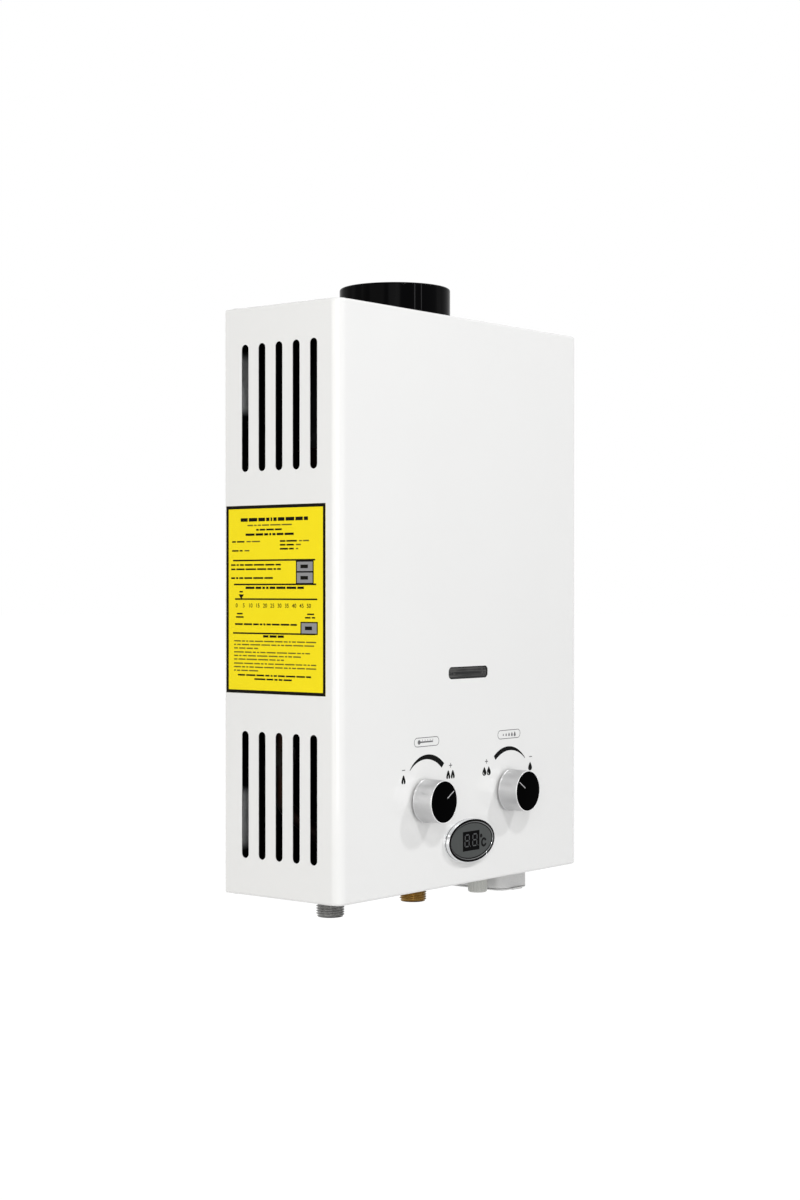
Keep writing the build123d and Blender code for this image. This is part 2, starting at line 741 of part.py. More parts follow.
# Hot pipe: from the serpentine down the left side to the hot outlet
hot_points = [
    (run_left, tube_rows[2], fin_z),
    (hot_pipe_x, tube_rows[2], fin_z),
    (hot_pipe_x, tube_rows[2], fitting_top + 3 * coil_bend),
    (hot_x, connect_y, fitting_top + coil_bend),
    (hot_x, connect_y, fitting_top),
]
hot_pipe = pipe(hot_points, coil_bend, TUBE_R)
finish(hot_pipe, "hot_pipe")

# Cold pipe: from the water valve to the lower end of the coil
cold_outlet_z = valve_top + OUTLET_BOSS_H
cold_run_z = (cold_outlet_z + frame_floor) / 2
cold_points = [
    (cold_out_x, -COLD_OUT_BACK, cold_outlet_z),
    (cold_out_x, -COLD_OUT_BACK, cold_run_z),
    (coil_right, coil_back, cold_run_z),
    (coil_right, coil_back, cold_joint_z),
]
cold_pipe = pipe(cold_points, COLD_BEND, TUBE_R)
finish(cold_pipe, "cold_pipe")

# Burner bars with rounded crowns, flame ports and mixing mouths
bar_l = jacket_d - 2 * FRAME_SHEET
with BuildPart() as burner_bars:
    with BuildSketch(Plane.XZ.offset(BACK_GAP + FRAME_SHEET)):
        with Locations((HEAT_X, burner_floor + BAR_H / 2)):
            with GridLocations(bar_pitch, BAR_H, BAR_COUNT, 1):
                Rectangle(BAR_T, BAR_H)
    extrude(amount=bar_l)
    crowns = burner_bars.edges().filter_by(Axis.Y).group_by(Axis.Z)[-1]
    fillet(crowns, BAR_TOP_R)
    with BuildSketch(Plane.XY.offset(bar_top)):
        with Locations((HEAT_X, heat_y)):
            with GridLocations(bar_pitch, PORT_PITCH, BAR_COUNT, PORT_COUNT):
                Rectangle(BAR_T, PORT_W)
    extrude(amount=-PORT_DEPTH, mode=Mode.SUBTRACT)
    with BuildSketch(Plane.XZ.offset(-jacket_front - FRAME_SHEET)):
        with Locations((HEAT_X, mouth_z)):
            with GridLocations(bar_pitch, BAR_H, BAR_COUNT, 1):
                Circle(MOUTH_R)
    extrude(amount=-MOUTH_DEPTH, mode=Mode.SUBTRACT)
finish(burner_bars, "burner_bars")

# Burner frame: a sheet ring under the jacket, with a hole before each bar
with BuildPart() as burner_frame:
    with BuildSketch(Plane.XY.offset(frame_floor)):
        with Locations((HEAT_X, heat_y)):
            RectangleRounded(jacket_w, jacket_d, JACKET_R)
            RectangleRounded(
                jacket_w - 2 * FRAME_SHEET,
                jacket_d - 2 * FRAME_SHEET,
                JACKET_R - FRAME_SHEET,
                mode=Mode.SUBTRACT,
            )
    extrude(amount=FRAME_H)
    with BuildSketch(Plane.XZ.offset(-jacket_front)):
        with Locations((HEAT_X, mouth_z)):
            with GridLocations(bar_pitch, BAR_H, BAR_COUNT, 1):
                Circle(NOZZLE_HOLE_R)
    extrude(amount=-FRAME_SHEET, mode=Mode.SUBTRACT)
finish(burner_frame, "burner_frame")

# Gas manifold: a bar along the burner's front, with an ear at each end
ear_x = manifold_l / 2 + EAR_W / 2
with BuildPart() as gas_manifold:
    with BuildSketch(Plane.XZ.offset(-manifold_back)):
        with Locations((HEAT_X, mouth_z)):
            RectangleRounded(manifold_l + 2 * EAR_W, MANIFOLD_W, EDGE_R)
    extrude(amount=MANIFOLD_W)
    with BuildSketch(Plane.XZ.offset(-jacket_front)):
        with Locations((HEAT_X - ear_x, mouth_z), (HEAT_X + ear_x, mouth_z)):
            Rectangle(EAR_W / 2, MANIFOLD_W)
    extrude(amount=MANIFOLD_GAP)
finish(gas_manifold, "gas_manifold")

# Gas nozzles on the manifold, one to each bar
with BuildPart() as gas_nozzles:
    with BuildSketch(Plane.XZ.offset(-jacket_front + MANIFOLD_GAP)):
        with Locations((HEAT_X, mouth_z)):
            with GridLocations(bar_pitch, BAR_H, BAR_COUNT, 1):
                RegularPolygon(NOZZLE_R, HEX_SIDES)
    extrude(amount=-MANIFOLD_GAP / 2)
    with BuildSketch(Plane.XZ.offset(-jacket_front + MANIFOLD_GAP / 2)):
        with Locations((HEAT_X, mouth_z)):
            with GridLocations(bar_pitch, BAR_H, BAR_COUNT, 1):
                Circle(NOZZLE_TIP_R)
    extrude(amount=-MANIFOLD_GAP / 2)
finish(gas_nozzles, "gas_nozzles")

# Electrodes: ceramic insulators through the jacket's right wall, each round a steel pin
pin_hole_r = PIN_R + PIN_CLEAR
with BuildPart() as electrode_insulators:
    with BuildSketch(Plane.YZ.offset(jacket_right - CERAMIC_IN)):
        with Locations(*[(row, spark_z) for row in spark_rows]):
            Circle(CERAMIC_R)
    extrude(amount=CERAMIC_IN + CERAMIC_OUT)
    with BuildSketch(Plane.YZ.offset(jacket_right)):
        with Locations(*[(row, spark_z) for row in spark_rows]):
            Circle(CERAMIC_COLLAR_R)
    extrude(amount=CERAMIC_COLLAR_T)
    with BuildSketch(Plane.YZ.offset(jacket_right - CERAMIC_IN)):
        with Locations(*[(row, spark_z) for row in spark_rows]):
            Circle(pin_hole_r)
    extrude(amount=CERAMIC_IN + CERAMIC_OUT, mode=Mode.SUBTRACT)
finish(electrode_insulators, "electrode_insulators")

pin_left = jacket_right - CERAMIC_IN - PIN_IN
pin_right = jacket_right + CERAMIC_OUT + PIN_OUT
with BuildPart() as electrode_pins:
    with BuildSketch(Plane.YZ.offset(pin_left)):
        with Locations(*[(row, spark_z) for row in spark_rows]):
            Circle(PIN_R)
    extrude(amount=pin_right - pin_left)
finish(electrode_pins, "electrode_pins")

# Sight glass behind its slot, in a frame on the panel's inner face
glass_w = SIGHT_W + 2 * SIGHT_LAP
glass_h = SIGHT_H + 2 * SIGHT_LAP
with BuildPart() as sight_glass:
    with BuildSketch(Plane.XZ.offset(front_in)):
        with Locations((SIGHT_X, sight_z)):
            Rectangle(glass_w, glass_h)
    extrude(amount=-GLASS_T)
finish(sight_glass, "sight_glass")

with BuildPart() as sight_frame:
    with BuildSketch(Plane.XZ.offset(front_in)):
        with Locations((SIGHT_X, sight_z)):
            Rectangle(glass_w + 2 * FRAME_RIM, glass_h + 2 * FRAME_RIM)
    extrude(amount=-GLASS_T - FRAME_SHEET)
    with BuildSketch(Plane.XZ.offset(front_in)):
        with Locations((SIGHT_X, sight_z)):
            Rectangle(glass_w + 2 * LENS_CLEAR, glass_h + 2 * LENS_CLEAR)
    extrude(amount=-GLASS_T, mode=Mode.SUBTRACT)
    with BuildSketch(Plane.XZ.offset(front_in)):
        with Locations((SIGHT_X, sight_z)):
            RectangleRounded(SIGHT_W, SIGHT_H, SIGHT_R)
    extrude(amount=-GLASS_T - FRAME_SHEET, mode=Mode.SUBTRACT)
finish(sight_frame, "sight_frame")


def knob_body(x):
    """Returns a tapered knob with a hub for its spindle and a seat for its face."""
    with BuildPart() as knob:
        with BuildSketch(Plane.XZ.offset(knob_back)):
            with Locations((x, knob_z)):
                Circle(KNOB_R)
        extrude(amount=KNOB_H, taper=KNOB_TAPER)
        fillet(knob.faces().sort_by(Axis.Y)[0].edges(), KNOB_EDGE_R)
        with BuildSketch(Plane.XZ.offset(knob_front)):
            with Locations((x, knob_z)):
                Circle(CAP_R + CAP_CLEAR)
        extrude(amount=-CAP_T, mode=Mode.SUBTRACT)
        with BuildSketch(Plane.XZ.offset(knob_back)):
            with Locations((x, knob_z)):
                Circle(KNOB_R - KNOB_WALL)
                Circle(KNOB_HUB_R, mode=Mode.SUBTRACT)
        extrude(amount=KNOB_CAVITY, taper=KNOB_TAPER, mode=Mode.SUBTRACT)
        with BuildSketch(Plane.XZ.offset(knob_back)):
            with Locations((x, knob_z)):
                Circle(SPINDLE_R + SPINDLE_CLEAR)
        extrude(amount=KNOB_CAVITY, mode=Mode.SUBTRACT)
    return knob


def knob_face(x, pointer):
    """Returns a knob's face disc with its pointer groove, turned by pointer degrees from upright."""
    with BuildPart() as face:
        with BuildSketch(Plane.XZ.offset(knob_front - CAP_T)):
            with Locations((x, knob_z)):
                Circle(CAP_R)
        extrude(amount=CAP_T)
        fillet(face.faces().sort_by(Axis.Y)[0].edges(), CAP_EDGE_R)
        with BuildSketch(Plane.XZ.offset(knob_front)):
            with Locations(Location((x, knob_z), -pointer)):
                with Locations((0, POINTER_IN + POINTER_L / 2)):
                    Rectangle(POINTER_W, POINTER_L)
        extrude(amount=-POINTER_DEPTH, mode=Mode.SUBTRACT)
    return face


def spindle(x, body_front):
    """Returns a spindle from its seat in a valve to its hub in a knob, with a flat at the hub."""
    back = -body_front + BOSS_L - SPINDLE_SEAT
    with BuildPart() as shaft:
        with BuildSketch(Plane.XZ.offset(back)):
            with Locations((x, knob_z)):
                Circle(SPINDLE_R)
        extrude(amount=spindle_front - back)
        with BuildSketch(Plane.XZ.offset(knob_back)):
            with Locations((x, knob_z + 2 * SPINDLE_R - SPINDLE_FLAT)):
                Rectangle(2 * SPINDLE_R, 2 * SPINDLE_R)
        extrude(amount=KNOB_CAVITY, mode=Mode.SUBTRACT)
    return shaft


# Knobs, their faces and their spindles
temp_knob = knob_body(-knob_x)
finish(temp_knob, "temp_knob")
temp_knob_cap = knob_face(-knob_x, TEMP_POINTER)
finish(temp_knob_cap, "temp_knob_cap")
gas_spindle = spindle(-knob_x, gas_front)
finish(gas_spindle, "gas_spindle")
flow_knob = knob_body(knob_x)
finish(flow_knob, "flow_knob")
flow_knob_cap = knob_face(knob_x, FLOW_POINTER)
finish(flow_knob_cap, "flow_knob_cap")
flow_spindle = spindle(knob_x, water_front)
finish(flow_spindle, "flow_spindle")

# Display: oval bezel on the panel, lens in the bezel, module behind the panel
lens_rx = DISPLAY_RX - BEZEL_RIM
lens_rz = DISPLAY_RZ - BEZEL_RIM
lens_front = CASE_D + BEZEL_RISE - LENS_SINK
with BuildPart() as display_bezel:
    with BuildSketch(Plane.XZ.offset(CASE_D)):
        with Locations((0, display_z)):
            Ellipse(DISPLAY_RX, DISPLAY_RZ)
    extrude(amount=BEZEL_RISE)
    fillet(display_bezel.faces().sort_by(Axis.Y)[0].edges(), BEZEL_EDGE_R)
    with BuildSketch(Plane.XZ.offset(CASE_D)):
        with Locations((0, display_z)):
            Ellipse(lens_rx, lens_rz)
    extrude(amount=BEZEL_RISE, mode=Mode.SUBTRACT)
finish(display_bezel, "display_bezel")

with BuildPart() as display_lens:
    with BuildSketch(Plane.XZ.offset(lens_front)):
        with Locations((0, display_z)):
            Ellipse(lens_rx - LENS_CLEAR, lens_rz - LENS_CLEAR)
    extrude(amount=-LENS_T)
finish(display_lens, "display_lens")

module_neck = MODULE_INSET + LENS_CLEAR
with BuildPart() as display_module:
    with BuildSketch(Plane.XZ.offset(front_in)):
        with Locations((0, display_z)):
            RectangleRounded(MODULE_W, MODULE_H, MODULE_R)
    extrude(amount=-MODULE_D)
    with BuildSketch(Plane.XZ.offset(front_in)):
        with Locations((0, display_z)):
            Ellipse(lens_rx - module_neck, lens_rz - module_neck)
    extrude(amount=lens_front - LENS_T - front_in)
finish(display_module, "display_module")

# Gas valve body with spindle boss, gas outlet, inlet boss and a bore for the push rod
rod_reach = gas_right - ROD_INSIDE - ROD_TRAVEL - ROD_END_ROOM
with BuildPart() as gas_valve_body:
    with BuildSketch(Plane.XY.offset(valve_floor)):
        with Locations(((gas_left + gas_right) / 2, -GAS_BACK - gas_d / 2)):
            Rectangle(gas_right - gas_left, gas_d)
    extrude(amount=valve_top - valve_floor)
    fillet(gas_valve_body.edges().filter_by(Axis.Z), VALVE_EDGE_R)
    with BuildSketch(Plane.XZ.offset(-gas_front)):
        with Locations((-knob_x, knob_z)):
            Circle(BOSS_R)
    extrude(amount=BOSS_L)
    with BuildSketch(Plane.XY.offset(valve_top)):
        with Locations((GAS_OUT_X, gas_out_y)):
            Circle(OUTLET_BOSS_R)
    extrude(amount=OUTLET_BOSS_H)
    with BuildSketch(Plane.XZ.offset(-gas_front + BOSS_L)):
        with Locations((-knob_x, knob_z)):
            Circle(SPINDLE_R + SPINDLE_CLEAR)
    extrude(amount=-SPINDLE_SEAT - FIT_CLEAR, mode=Mode.SUBTRACT)
    with BuildSketch(Plane.YZ.offset(gas_right)):
        with Locations((link_y, knob_z)):
            Circle(ROD_R + ROD_CLEAR)
    extrude(amount=rod_reach - gas_right, mode=Mode.SUBTRACT)
finish(gas_valve_body, "gas_valve_body")

# Solenoid on the gas valve's left end
with BuildPart() as gas_solenoid:
    with BuildSketch(Plane.YZ.offset(gas_left)):
        with Locations((link_y, knob_z)):
            Circle(SOLENOID_R)
    extrude(amount=-SOLENOID_L)
    with BuildSketch(Plane.YZ.offset(gas_left - SOLENOID_L)):
        with Locations((link_y, knob_z)):
            Circle(SOLENOID_CAP_R)
    extrude(amount=-SOLENOID_CAP_L)
finish(gas_solenoid, "gas_solenoid")

# Gas pipe from the valve up to the manifold
gas_pipe_floor = valve_top + OUTLET_BOSS_H
gas_run_z = (gas_pipe_floor + manifold_floor) / 2
gas_manifold_y = manifold_back - MANIFOLD_W / 2
gas_points = [
    (GAS_OUT_X, gas_out_y, gas_pipe_floor),
    (GAS_OUT_X, gas_out_y, gas_run_z),
    (GAS_OUT_X, gas_manifold_y, gas_run_z),
    (GAS_OUT_X, gas_manifold_y, manifold_floor),
]
gas_pipe = pipe(gas_points, GAS_PIPE_BEND, GAS_PIPE_R)
finish(gas_pipe, "gas_pipe")

# Water valve body with chamber flange, spindle boss, outlet boss, inlet arm and drain seat
cold_elbow_z = knob_z - ARM_R - HEX_H
with BuildPart() as water_valve_body:
    with BuildSketch(Plane.XY.offset(valve_floor)):
        with Locations((water_left + WATER_W / 2, -WATER_BACK - water_d / 2)):
            Rectangle(WATER_W, water_d)
    extrude(amount=valve_top - valve_floor)
    fillet(water_valve_body.edges().filter_by(Axis.Z), VALVE_EDGE_R)
    with BuildSketch(Plane.YZ.offset(flange_left)):
        with Locations((link_y, knob_z)):
            Circle(CHAMBER_R)
    extrude(amount=FLANGE_T + VALVE_EDGE_R)
    with BuildSketch(Plane.XZ.offset(-water_front)):
        with Locations((knob_x, knob_z)):
            Circle(BOSS_R)
    extrude(amount=BOSS_L)
    with BuildSketch(Plane.XY.offset(valve_top)):
        with Locations((cold_out_x, -COLD_OUT_BACK)):
            Circle(OUTLET_BOSS_R)
    extrude(amount=OUTLET_BOSS_H)
    with BuildSketch(Plane.YZ.offset(water_right - VALVE_EDGE_R)):
        with Locations((connect_y, knob_z)):
            Circle(ARM_R)
    extrude(amount=cold_x + ARM_R - water_right + VALVE_EDGE_R)
    with BuildSketch(Plane.XY.offset(cold_elbow_z)):
        with Locations((cold_x, connect_y)):
            Circle(ARM_R)
    extrude(amount=knob_z + ARM_R - cold_elbow_z)
    with BuildSketch(Plane.XZ.offset(-water_front + BOSS_L)):
        with Locations((knob_x, knob_z)):
            Circle(SPINDLE_R + SPINDLE_CLEAR)
    extrude(amount=-SPINDLE_SEAT - FIT_CLEAR, mode=Mode.SUBTRACT)
    with BuildSketch(Plane.XY.offset(valve_floor)):
        with Locations((knob_x, drain_y)):
            Circle(DRAIN_STEM_R + DRAIN_STEM_CLEAR)
    extrude(amount=DRAIN_STEM_IN + FIT_CLEAR, mode=Mode.SUBTRACT)
finish(water_valve_body, "water_valve_body")

# Diaphragm, its cover and the bolts round the cover
with BuildPart() as diaphragm:
    with BuildSketch(Plane.YZ.offset(diaphragm_left)):
        with Locations((link_y, knob_z)):
            Circle(CHAMBER_R)
    extrude(amount=DIAPHRAGM_T)
finish(diaphragm, "diaphragm")

with BuildPart() as diaphragm_cover:
    with BuildSketch(Plane.YZ.offset(chamber_left)):
        with Locations((link_y, knob_z)):
            Circle(CHAMBER_R)
    extrude(amount=CHAMBER_L)
    with BuildSketch(Plane.YZ.offset(chamber_left + CHAMBER_WALL)):
        with Locations((link_y, knob_z)):
            Circle(CHAMBER_HOLLOW_R)
    extrude(amount=CHAMBER_L, mode=Mode.SUBTRACT)
    with BuildSketch(Plane.YZ.offset(chamber_left)):
        with Locations((link_y, knob_z)):
            Circle(ROD_R + ROD_CLEAR)
    extrude(amount=CHAMBER_WALL, mode=Mode.SUBTRACT)
finish(diaphragm_cover, "diaphragm_cover")

with BuildPart() as diaphragm_bolts:
    with BuildSketch(Plane.YZ.offset(chamber_left)):
        with Locations((link_y, knob_z)):
            with PolarLocations(BOLT_PCD_R, BOLT_COUNT, start_angle=BOLT_TURN):
                RegularPolygon(BOLT_R, HEX_SIDES)
    extrude(amount=-BOLT_T)
finish(diaphragm_bolts, "diaphragm_bolts")

# Push rod: plate against the diaphragm, collar at the switch lever, end inside the gas valve
plate_right = diaphragm_left - ROD_PLATE_GAP
rod_left = gas_right - ROD_INSIDE
with BuildPart() as push_rod:
    with BuildSketch(Plane.YZ.offset(rod_left)):
        with Locations((link_y, knob_z)):
            Circle(ROD_R)
    extrude(amount=plate_right - rod_left)
    with BuildSketch(Plane.YZ.offset(plate_right)):
        with Locations((link_y, knob_z)):
            Circle(ROD_PLATE_R)
    extrude(amount=-ROD_PLATE_T)
    with BuildSketch(Plane.YZ.offset(collar_left)):
        with Locations((link_y, knob_z)):
            Circle(ROD_COLLAR_R)
    extrude(amount=ROD_COLLAR_T)
finish(push_rod, "push_rod")

# Switch on the gas valve, with two cheeks that hold the lever's pivot
switch_right = lever_x - PIVOT_EYE_R - LEVER_T
cheek_y = LEVER_W / 2 + LEVER_CLEAR + CHEEK_T / 2
with BuildPart() as switch_body:
    with BuildSketch(Plane.XZ.offset(-link_y - SWITCH_W / 2)):
        with Locations((switch_right - SWITCH_L / 2, valve_top + SWITCH_H / 2)):
            Rectangle(SWITCH_L, SWITCH_H)
    extrude(amount=SWITCH_W)
    for side in (-1, 1):
        with BuildSketch(Plane.XZ.offset(-link_y + side * cheek_y - CHEEK_T / 2)):
            with Locations((lever_x, pivot_z)):
                Circle(PIVOT_EYE_R)
            with Locations(((lever_x + switch_right) / 2, pivot_z)):
                Rectangle(lever_x - switch_right, 2 * PIVOT_EYE_R)
            with Locations((lever_x, pivot_z)):
                Circle(PIVOT_R + PIVOT_CLEAR, mode=Mode.SUBTRACT)
        extrude(amount=CHEEK_T)
finish(switch_body, "switch_body")

with BuildPart() as switch_lever:
    with BuildSketch(Plane.XZ.offset(-link_y - LEVER_W / 2)):
        with Locations((lever_x, (lever_floor + pivot_z) / 2)):
            Rectangle(LEVER_T, pivot_z - lever_floor)
        with Locations((lever_x, pivot_z)):
            Circle(PIVOT_EYE_R)
    extrude(amount=LEVER_W)
    with BuildSketch(Plane.XZ.offset(-link_y - cheek_y - CHEEK_T / 2)):
        with Locations((lever_x, pivot_z)):
            Circle(PIVOT_R)
    extrude(amount=2 * cheek_y + CHEEK_T)
finish(switch_lever, "switch_lever")


def fitting(x, upper_r, upper_top, bore_top):
    """Returns a connection through the deck: thread, shank in its nut, hexagon, upper end and bore."""
    with BuildPart() as piece:
        with BuildSketch(Plane.XY.offset(connect_floor)):
            with Locations((x, connect_y)):
                Circle(FIT_R)
        extrude(amount=deck_top - connect_floor)
        chamfer(piece.faces().sort_by(Axis.Z)[0].edges(), FIT_CHAMFER)
        with BuildSketch(Plane.XY.offset(deck_z - NUT_H)):
            with Locations((x, connect_y)):
                Circle(SHANK_R)
        extrude(amount=deck_top - deck_z + NUT_H)
        with BuildSketch(Plane.XY.offset(deck_top)):
            with Locations((x, connect_y)):
                RegularPolygon(HEX_R, HEX_SIDES, major_radius=False, rotation=HEX_TURN)
        extrude(amount=HEX_H)
        with BuildSketch(Plane.XY.offset(deck_top + HEX_H)):
            with Locations((x, connect_y)):
                Circle(upper_r)
        extrude(amount=upper_top - deck_top - HEX_H)
        with BuildSketch(Plane.XY.offset(connect_floor)):
            with Locations((x, connect_y)):
                Circle(FIT_BORE_R)
        extrude(amount=bore_top - connect_floor, mode=Mode.SUBTRACT)
    return piece


# Connections: hot outlet, gas inlet and cold inlet, with the nuts under the deck
fitting_bore_top = deck_top + HEX_H / 2
hot_outlet = fitting(hot_x, TUBE_R, fitting_top, fitting_bore_top)
finish(hot_outlet, "hot_outlet")
gas_inlet = fitting(GAS_X, BOSS_R, valve_floor, fitting_bore_top)
finish(gas_inlet, "gas_inlet")
cold_inlet = fitting(cold_x, ARM_R, cold_elbow_z, fitting_bore_top)
finish(cold_inlet, "cold_inlet")

with BuildPart() as fitting_nuts:
    with BuildSketch(Plane.XY.offset(deck_z)):
        with Locations((hot_x, connect_y), (GAS_X, connect_y), (cold_x, connect_y)):
            RegularPolygon(HEX_R, HEX_SIDES, major_radius=False, rotation=HEX_TURN)
            Circle(SHANK_R + THREAD_CLEAR, mode=Mode.SUBTRACT)
    extrude(amount=-NUT_H)
finish(fitting_nuts, "fitting_nuts")

# Union nuts round the two pipe joints
with BuildPart() as pipe_unions:
    for x, y, joint_z in ((hot_x, connect_y, fitting_top), (coil_right, coil_back, cold_joint_z)):
        with BuildSketch(Plane.XY.offset(joint_z - UNION_H / 2)):
            with Locations((x, y)):
                RegularPolygon(UNION_R, HEX_SIDES, major_radius=False)
                Circle(TUBE_R + THREAD_CLEAR, mode=Mode.SUBTRACT)
        extrude(amount=UNION_H)
finish(pipe_unions, "pipe_unions")

# Inlet filter: a basket in the cold inlet's bore
filter_floor = connect_floor + FIT_CHAMFER
with BuildPart() as inlet_filter:
    with BuildSketch(Plane.XY.offset(filter_floor)):
        with Locations((cold_x, connect_y)):
            Circle(FILTER_R)
    extrude(amount=FILTER_L)
    with BuildSketch(Plane.XY.offset(filter_floor)):
        with Locations((cold_x, connect_y)):
            Circle(FILTER_R - FILTER_WALL)
    extrude(amount=FILTER_L - FILTER_WALL, mode=Mode.SUBTRACT)
    with BuildSketch(Plane.XZ.offset(-connect_y)):
        with Locations((cold_x, filter_floor + FILTER_RIM + (FILTER_L - 2 * FILTER_RIM) / 2)):
            Rectangle(FILTER_R, FILTER_L - 2 * FILTER_RIM)
    extrude(amount=2 * FILTER_R, both=True, mode=Mode.SUBTRACT)
finish(inlet_filter, "inlet_filter")

# Drain cap: a tapered cap below the case on a stem into the water valve, with a coin slot
with BuildPart() as drain_cap:
    with BuildSketch(Plane.XY.offset(drain_top)):
        with Locations((knob_x, drain_y)):
            Circle(DRAIN_R)
    extrude(amount=-DRAIN_DROP + DRAIN_TOP_GAP, taper=DRAIN_TAPER)
    fillet(drain_cap.faces().sort_by(Axis.Z)[0].edges(), DRAIN_EDGE_R)
    with BuildSketch(Plane.XY.offset(drain_top)):
        with Locations((knob_x, drain_y)):
            Circle(DRAIN_STEM_R)
    extrude(amount=valve_floor + DRAIN_STEM_IN - drain_top)
    with BuildSketch(Plane.XY.offset(floor_z - DRAIN_DROP)):
        with Locations((knob_x, drain_y)):
            Rectangle(COIN_L, COIN_W)
    extrude(amount=COIN_DEPTH, mode=Mode.SUBTRACT)
finish(drain_cap, "drain_cap")

# Battery box: an upright bay through the deck, open below, with hinge lugs at its back
lug_left = battery_left + LUG_SIDE + LUG_W / 2
lug_right = battery_left + battery_w - LUG_SIDE - LUG_W / 2
web_z = hinge_z + HINGE_R / 2
with BuildPart() as battery_box:
    with BuildSketch(Plane.XY.offset(battery_floor)):
        with Locations((battery_x, battery_y)):
            RectangleRounded(battery_w, battery_d, BATTERY_R)
    extrude(amount=battery_top - battery_floor)
    with BuildSketch(Plane.XY.offset(deck_z)):
        with Locations((battery_x, battery_y)):
            RectangleRounded(battery_w + 2 * BATTERY_FLANGE, battery_d + 2 * BATTERY_FLANGE, BATTERY_R)
    extrude(amount=-BATTERY_FLANGE_T)
    with BuildSketch(Plane.XY.offset(battery_floor)):
        with Locations((battery_x, battery_y)):
            RectangleRounded(
                battery_w - 2 * BATTERY_WALL, battery_d - 2 * BATTERY_WALL, BATTERY_R - BATTERY_WALL
            )
    extrude(amount=bay_roof - battery_floor, mode=Mode.SUBTRACT)
    for lug_x in (lug_left, lug_right):
        with BuildSketch(Plane.YZ.offset(lug_x - LUG_W / 2)):
            with Locations((hinge_y, hinge_z)):
                Circle(HINGE_R)
            with Locations(((battery_back + hinge_y) / 2, web_z)):
                Rectangle(hinge_y - battery_back, HINGE_R)
            with Locations((hinge_y, hinge_z)):
                Circle(HINGE_PIN_R + HINGE_PIN_CLEAR, mode=Mode.SUBTRACT)
        extrude(amount=LUG_W)
finish(battery_box, "battery_box")

# Battery lid with its knuckle between the lugs and a thumb tab at the front
knuckle_w = lug_right - lug_left - LUG_W - 2 * LUG_GAP
with BuildPart() as battery_lid:
    with BuildSketch(Plane.XY.offset(lid_top)):
        with Locations((battery_x, battery_y)):
            RectangleRounded(battery_w, battery_d, BATTERY_R)
    extrude(amount=-LID_T)
    fillet(battery_lid.faces().sort_by(Axis.Z)[0].edges(), LID_EDGE_R)
    with BuildSketch(Plane.XY.offset(lid_top)):
        with Locations((battery_x, battery_front)):
            Rectangle(LID_TAB_W, 2 * LID_TAB_L)
    extrude(amount=-LID_T)
    with BuildSketch(Plane.YZ.offset(battery_x - knuckle_w / 2)):
        with Locations((hinge_y, hinge_z)):
            Circle(HINGE_R)
        with Locations(((battery_back + hinge_y) / 2 - HINGE_R / 2, lid_top - LID_T / 2)):
            Rectangle(hinge_y - battery_back + HINGE_R, LID_T)
        with Locations((hinge_y, hinge_z)):
            Circle(HINGE_PIN_R + HINGE_PIN_CLEAR, mode=Mode.SUBTRACT)
    extrude(amount=knuckle_w)
finish(battery_lid, "battery_lid")

with BuildPart() as lid_pin:
    with BuildSketch(Plane.YZ.offset(lug_left - LUG_W / 2)):
        with Locations((hinge_y, hinge_z)):
            Circle(HINGE_PIN_R)
    extrude(amount=lug_right - lug_left + LUG_W)
finish(lid_pin, "lid_pin")

# Battery contacts: two plates with raised buttons under the bay's roof
with BuildPart() as battery_contacts:
    with BuildSketch(Plane.XY.offset(bay_roof)):
        with Locations((battery_x, battery_y)):
            with GridLocations(cell_pitch, cell_pitch, 1, 2):
                RectangleRounded(CONTACT_W, CONTACT_L, EDGE_R)
    extrude(amount=-CONTACT_T)
    with BuildSketch(Plane.XY.offset(bay_roof - CONTACT_T)):
        with Locations((battery_x, battery_y)):
            with GridLocations(cell_pitch, cell_pitch, 1, 2):
                Circle(CONTACT_BUTTON_R)
    extrude(amount=-CONTACT_BUTTON_H, taper=CONTACT_TAPER)
finish(battery_contacts, "battery_contacts")

# Lid contact: the bridge between the two cells, on the lid's inner face
with BuildPart() as lid_contact:
    with BuildSketch(Plane.XY.offset(lid_top)):
        with Locations((battery_x, battery_y)):
            RectangleRounded(BRIDGE_W, cell_pitch + BRIDGE_W, EDGE_R)
    extrude(amount=CONTACT_T)
finish(lid_contact, "lid_contact")

# Pulse igniter on the wall pan and its leads to the electrodes
with BuildPart() as pulse_igniter:
    with BuildSketch(Plane.XZ.offset(PLATE_SHEET)):
        with Locations((igniter_left + IGNITER_W / 2, igniter_z)):
            RectangleRounded(IGNITER_W, IGNITER_H, IGNITER_R)
    extrude(amount=IGNITER_D)
    fillet(pulse_igniter.faces().sort_by(Axis.Y)[0].edges(), IGNITER_R / 2)
finish(pulse_igniter, "pulse_igniter")

lead_y = -PLATE_SHEET - IGNITER_D / 2
lead_x = (igniter_left + pin_right) / 2
lead_bend = (igniter_left - pin_right) / LEAD_PARTS
leads = []
for row, lift in ((spark_rows[0], 1), (spark_rows[1], -1)):
    lead_points = [
        (igniter_left, lead_y, spark_z + lift * SPARK_SPREAD),
        (lead_x, lead_y, spark_z + lift * SPARK_SPREAD),
        (lead_x, row, spark_z),
        (pin_right, row, spark_z),
    ]
    leads.append(pipe(lead_points, lead_bend, LEAD_R))
with BuildPart() as spark_leads:
    for lead in leads:
        add(lead.part)
finish(spark_leads, "spark_leads")

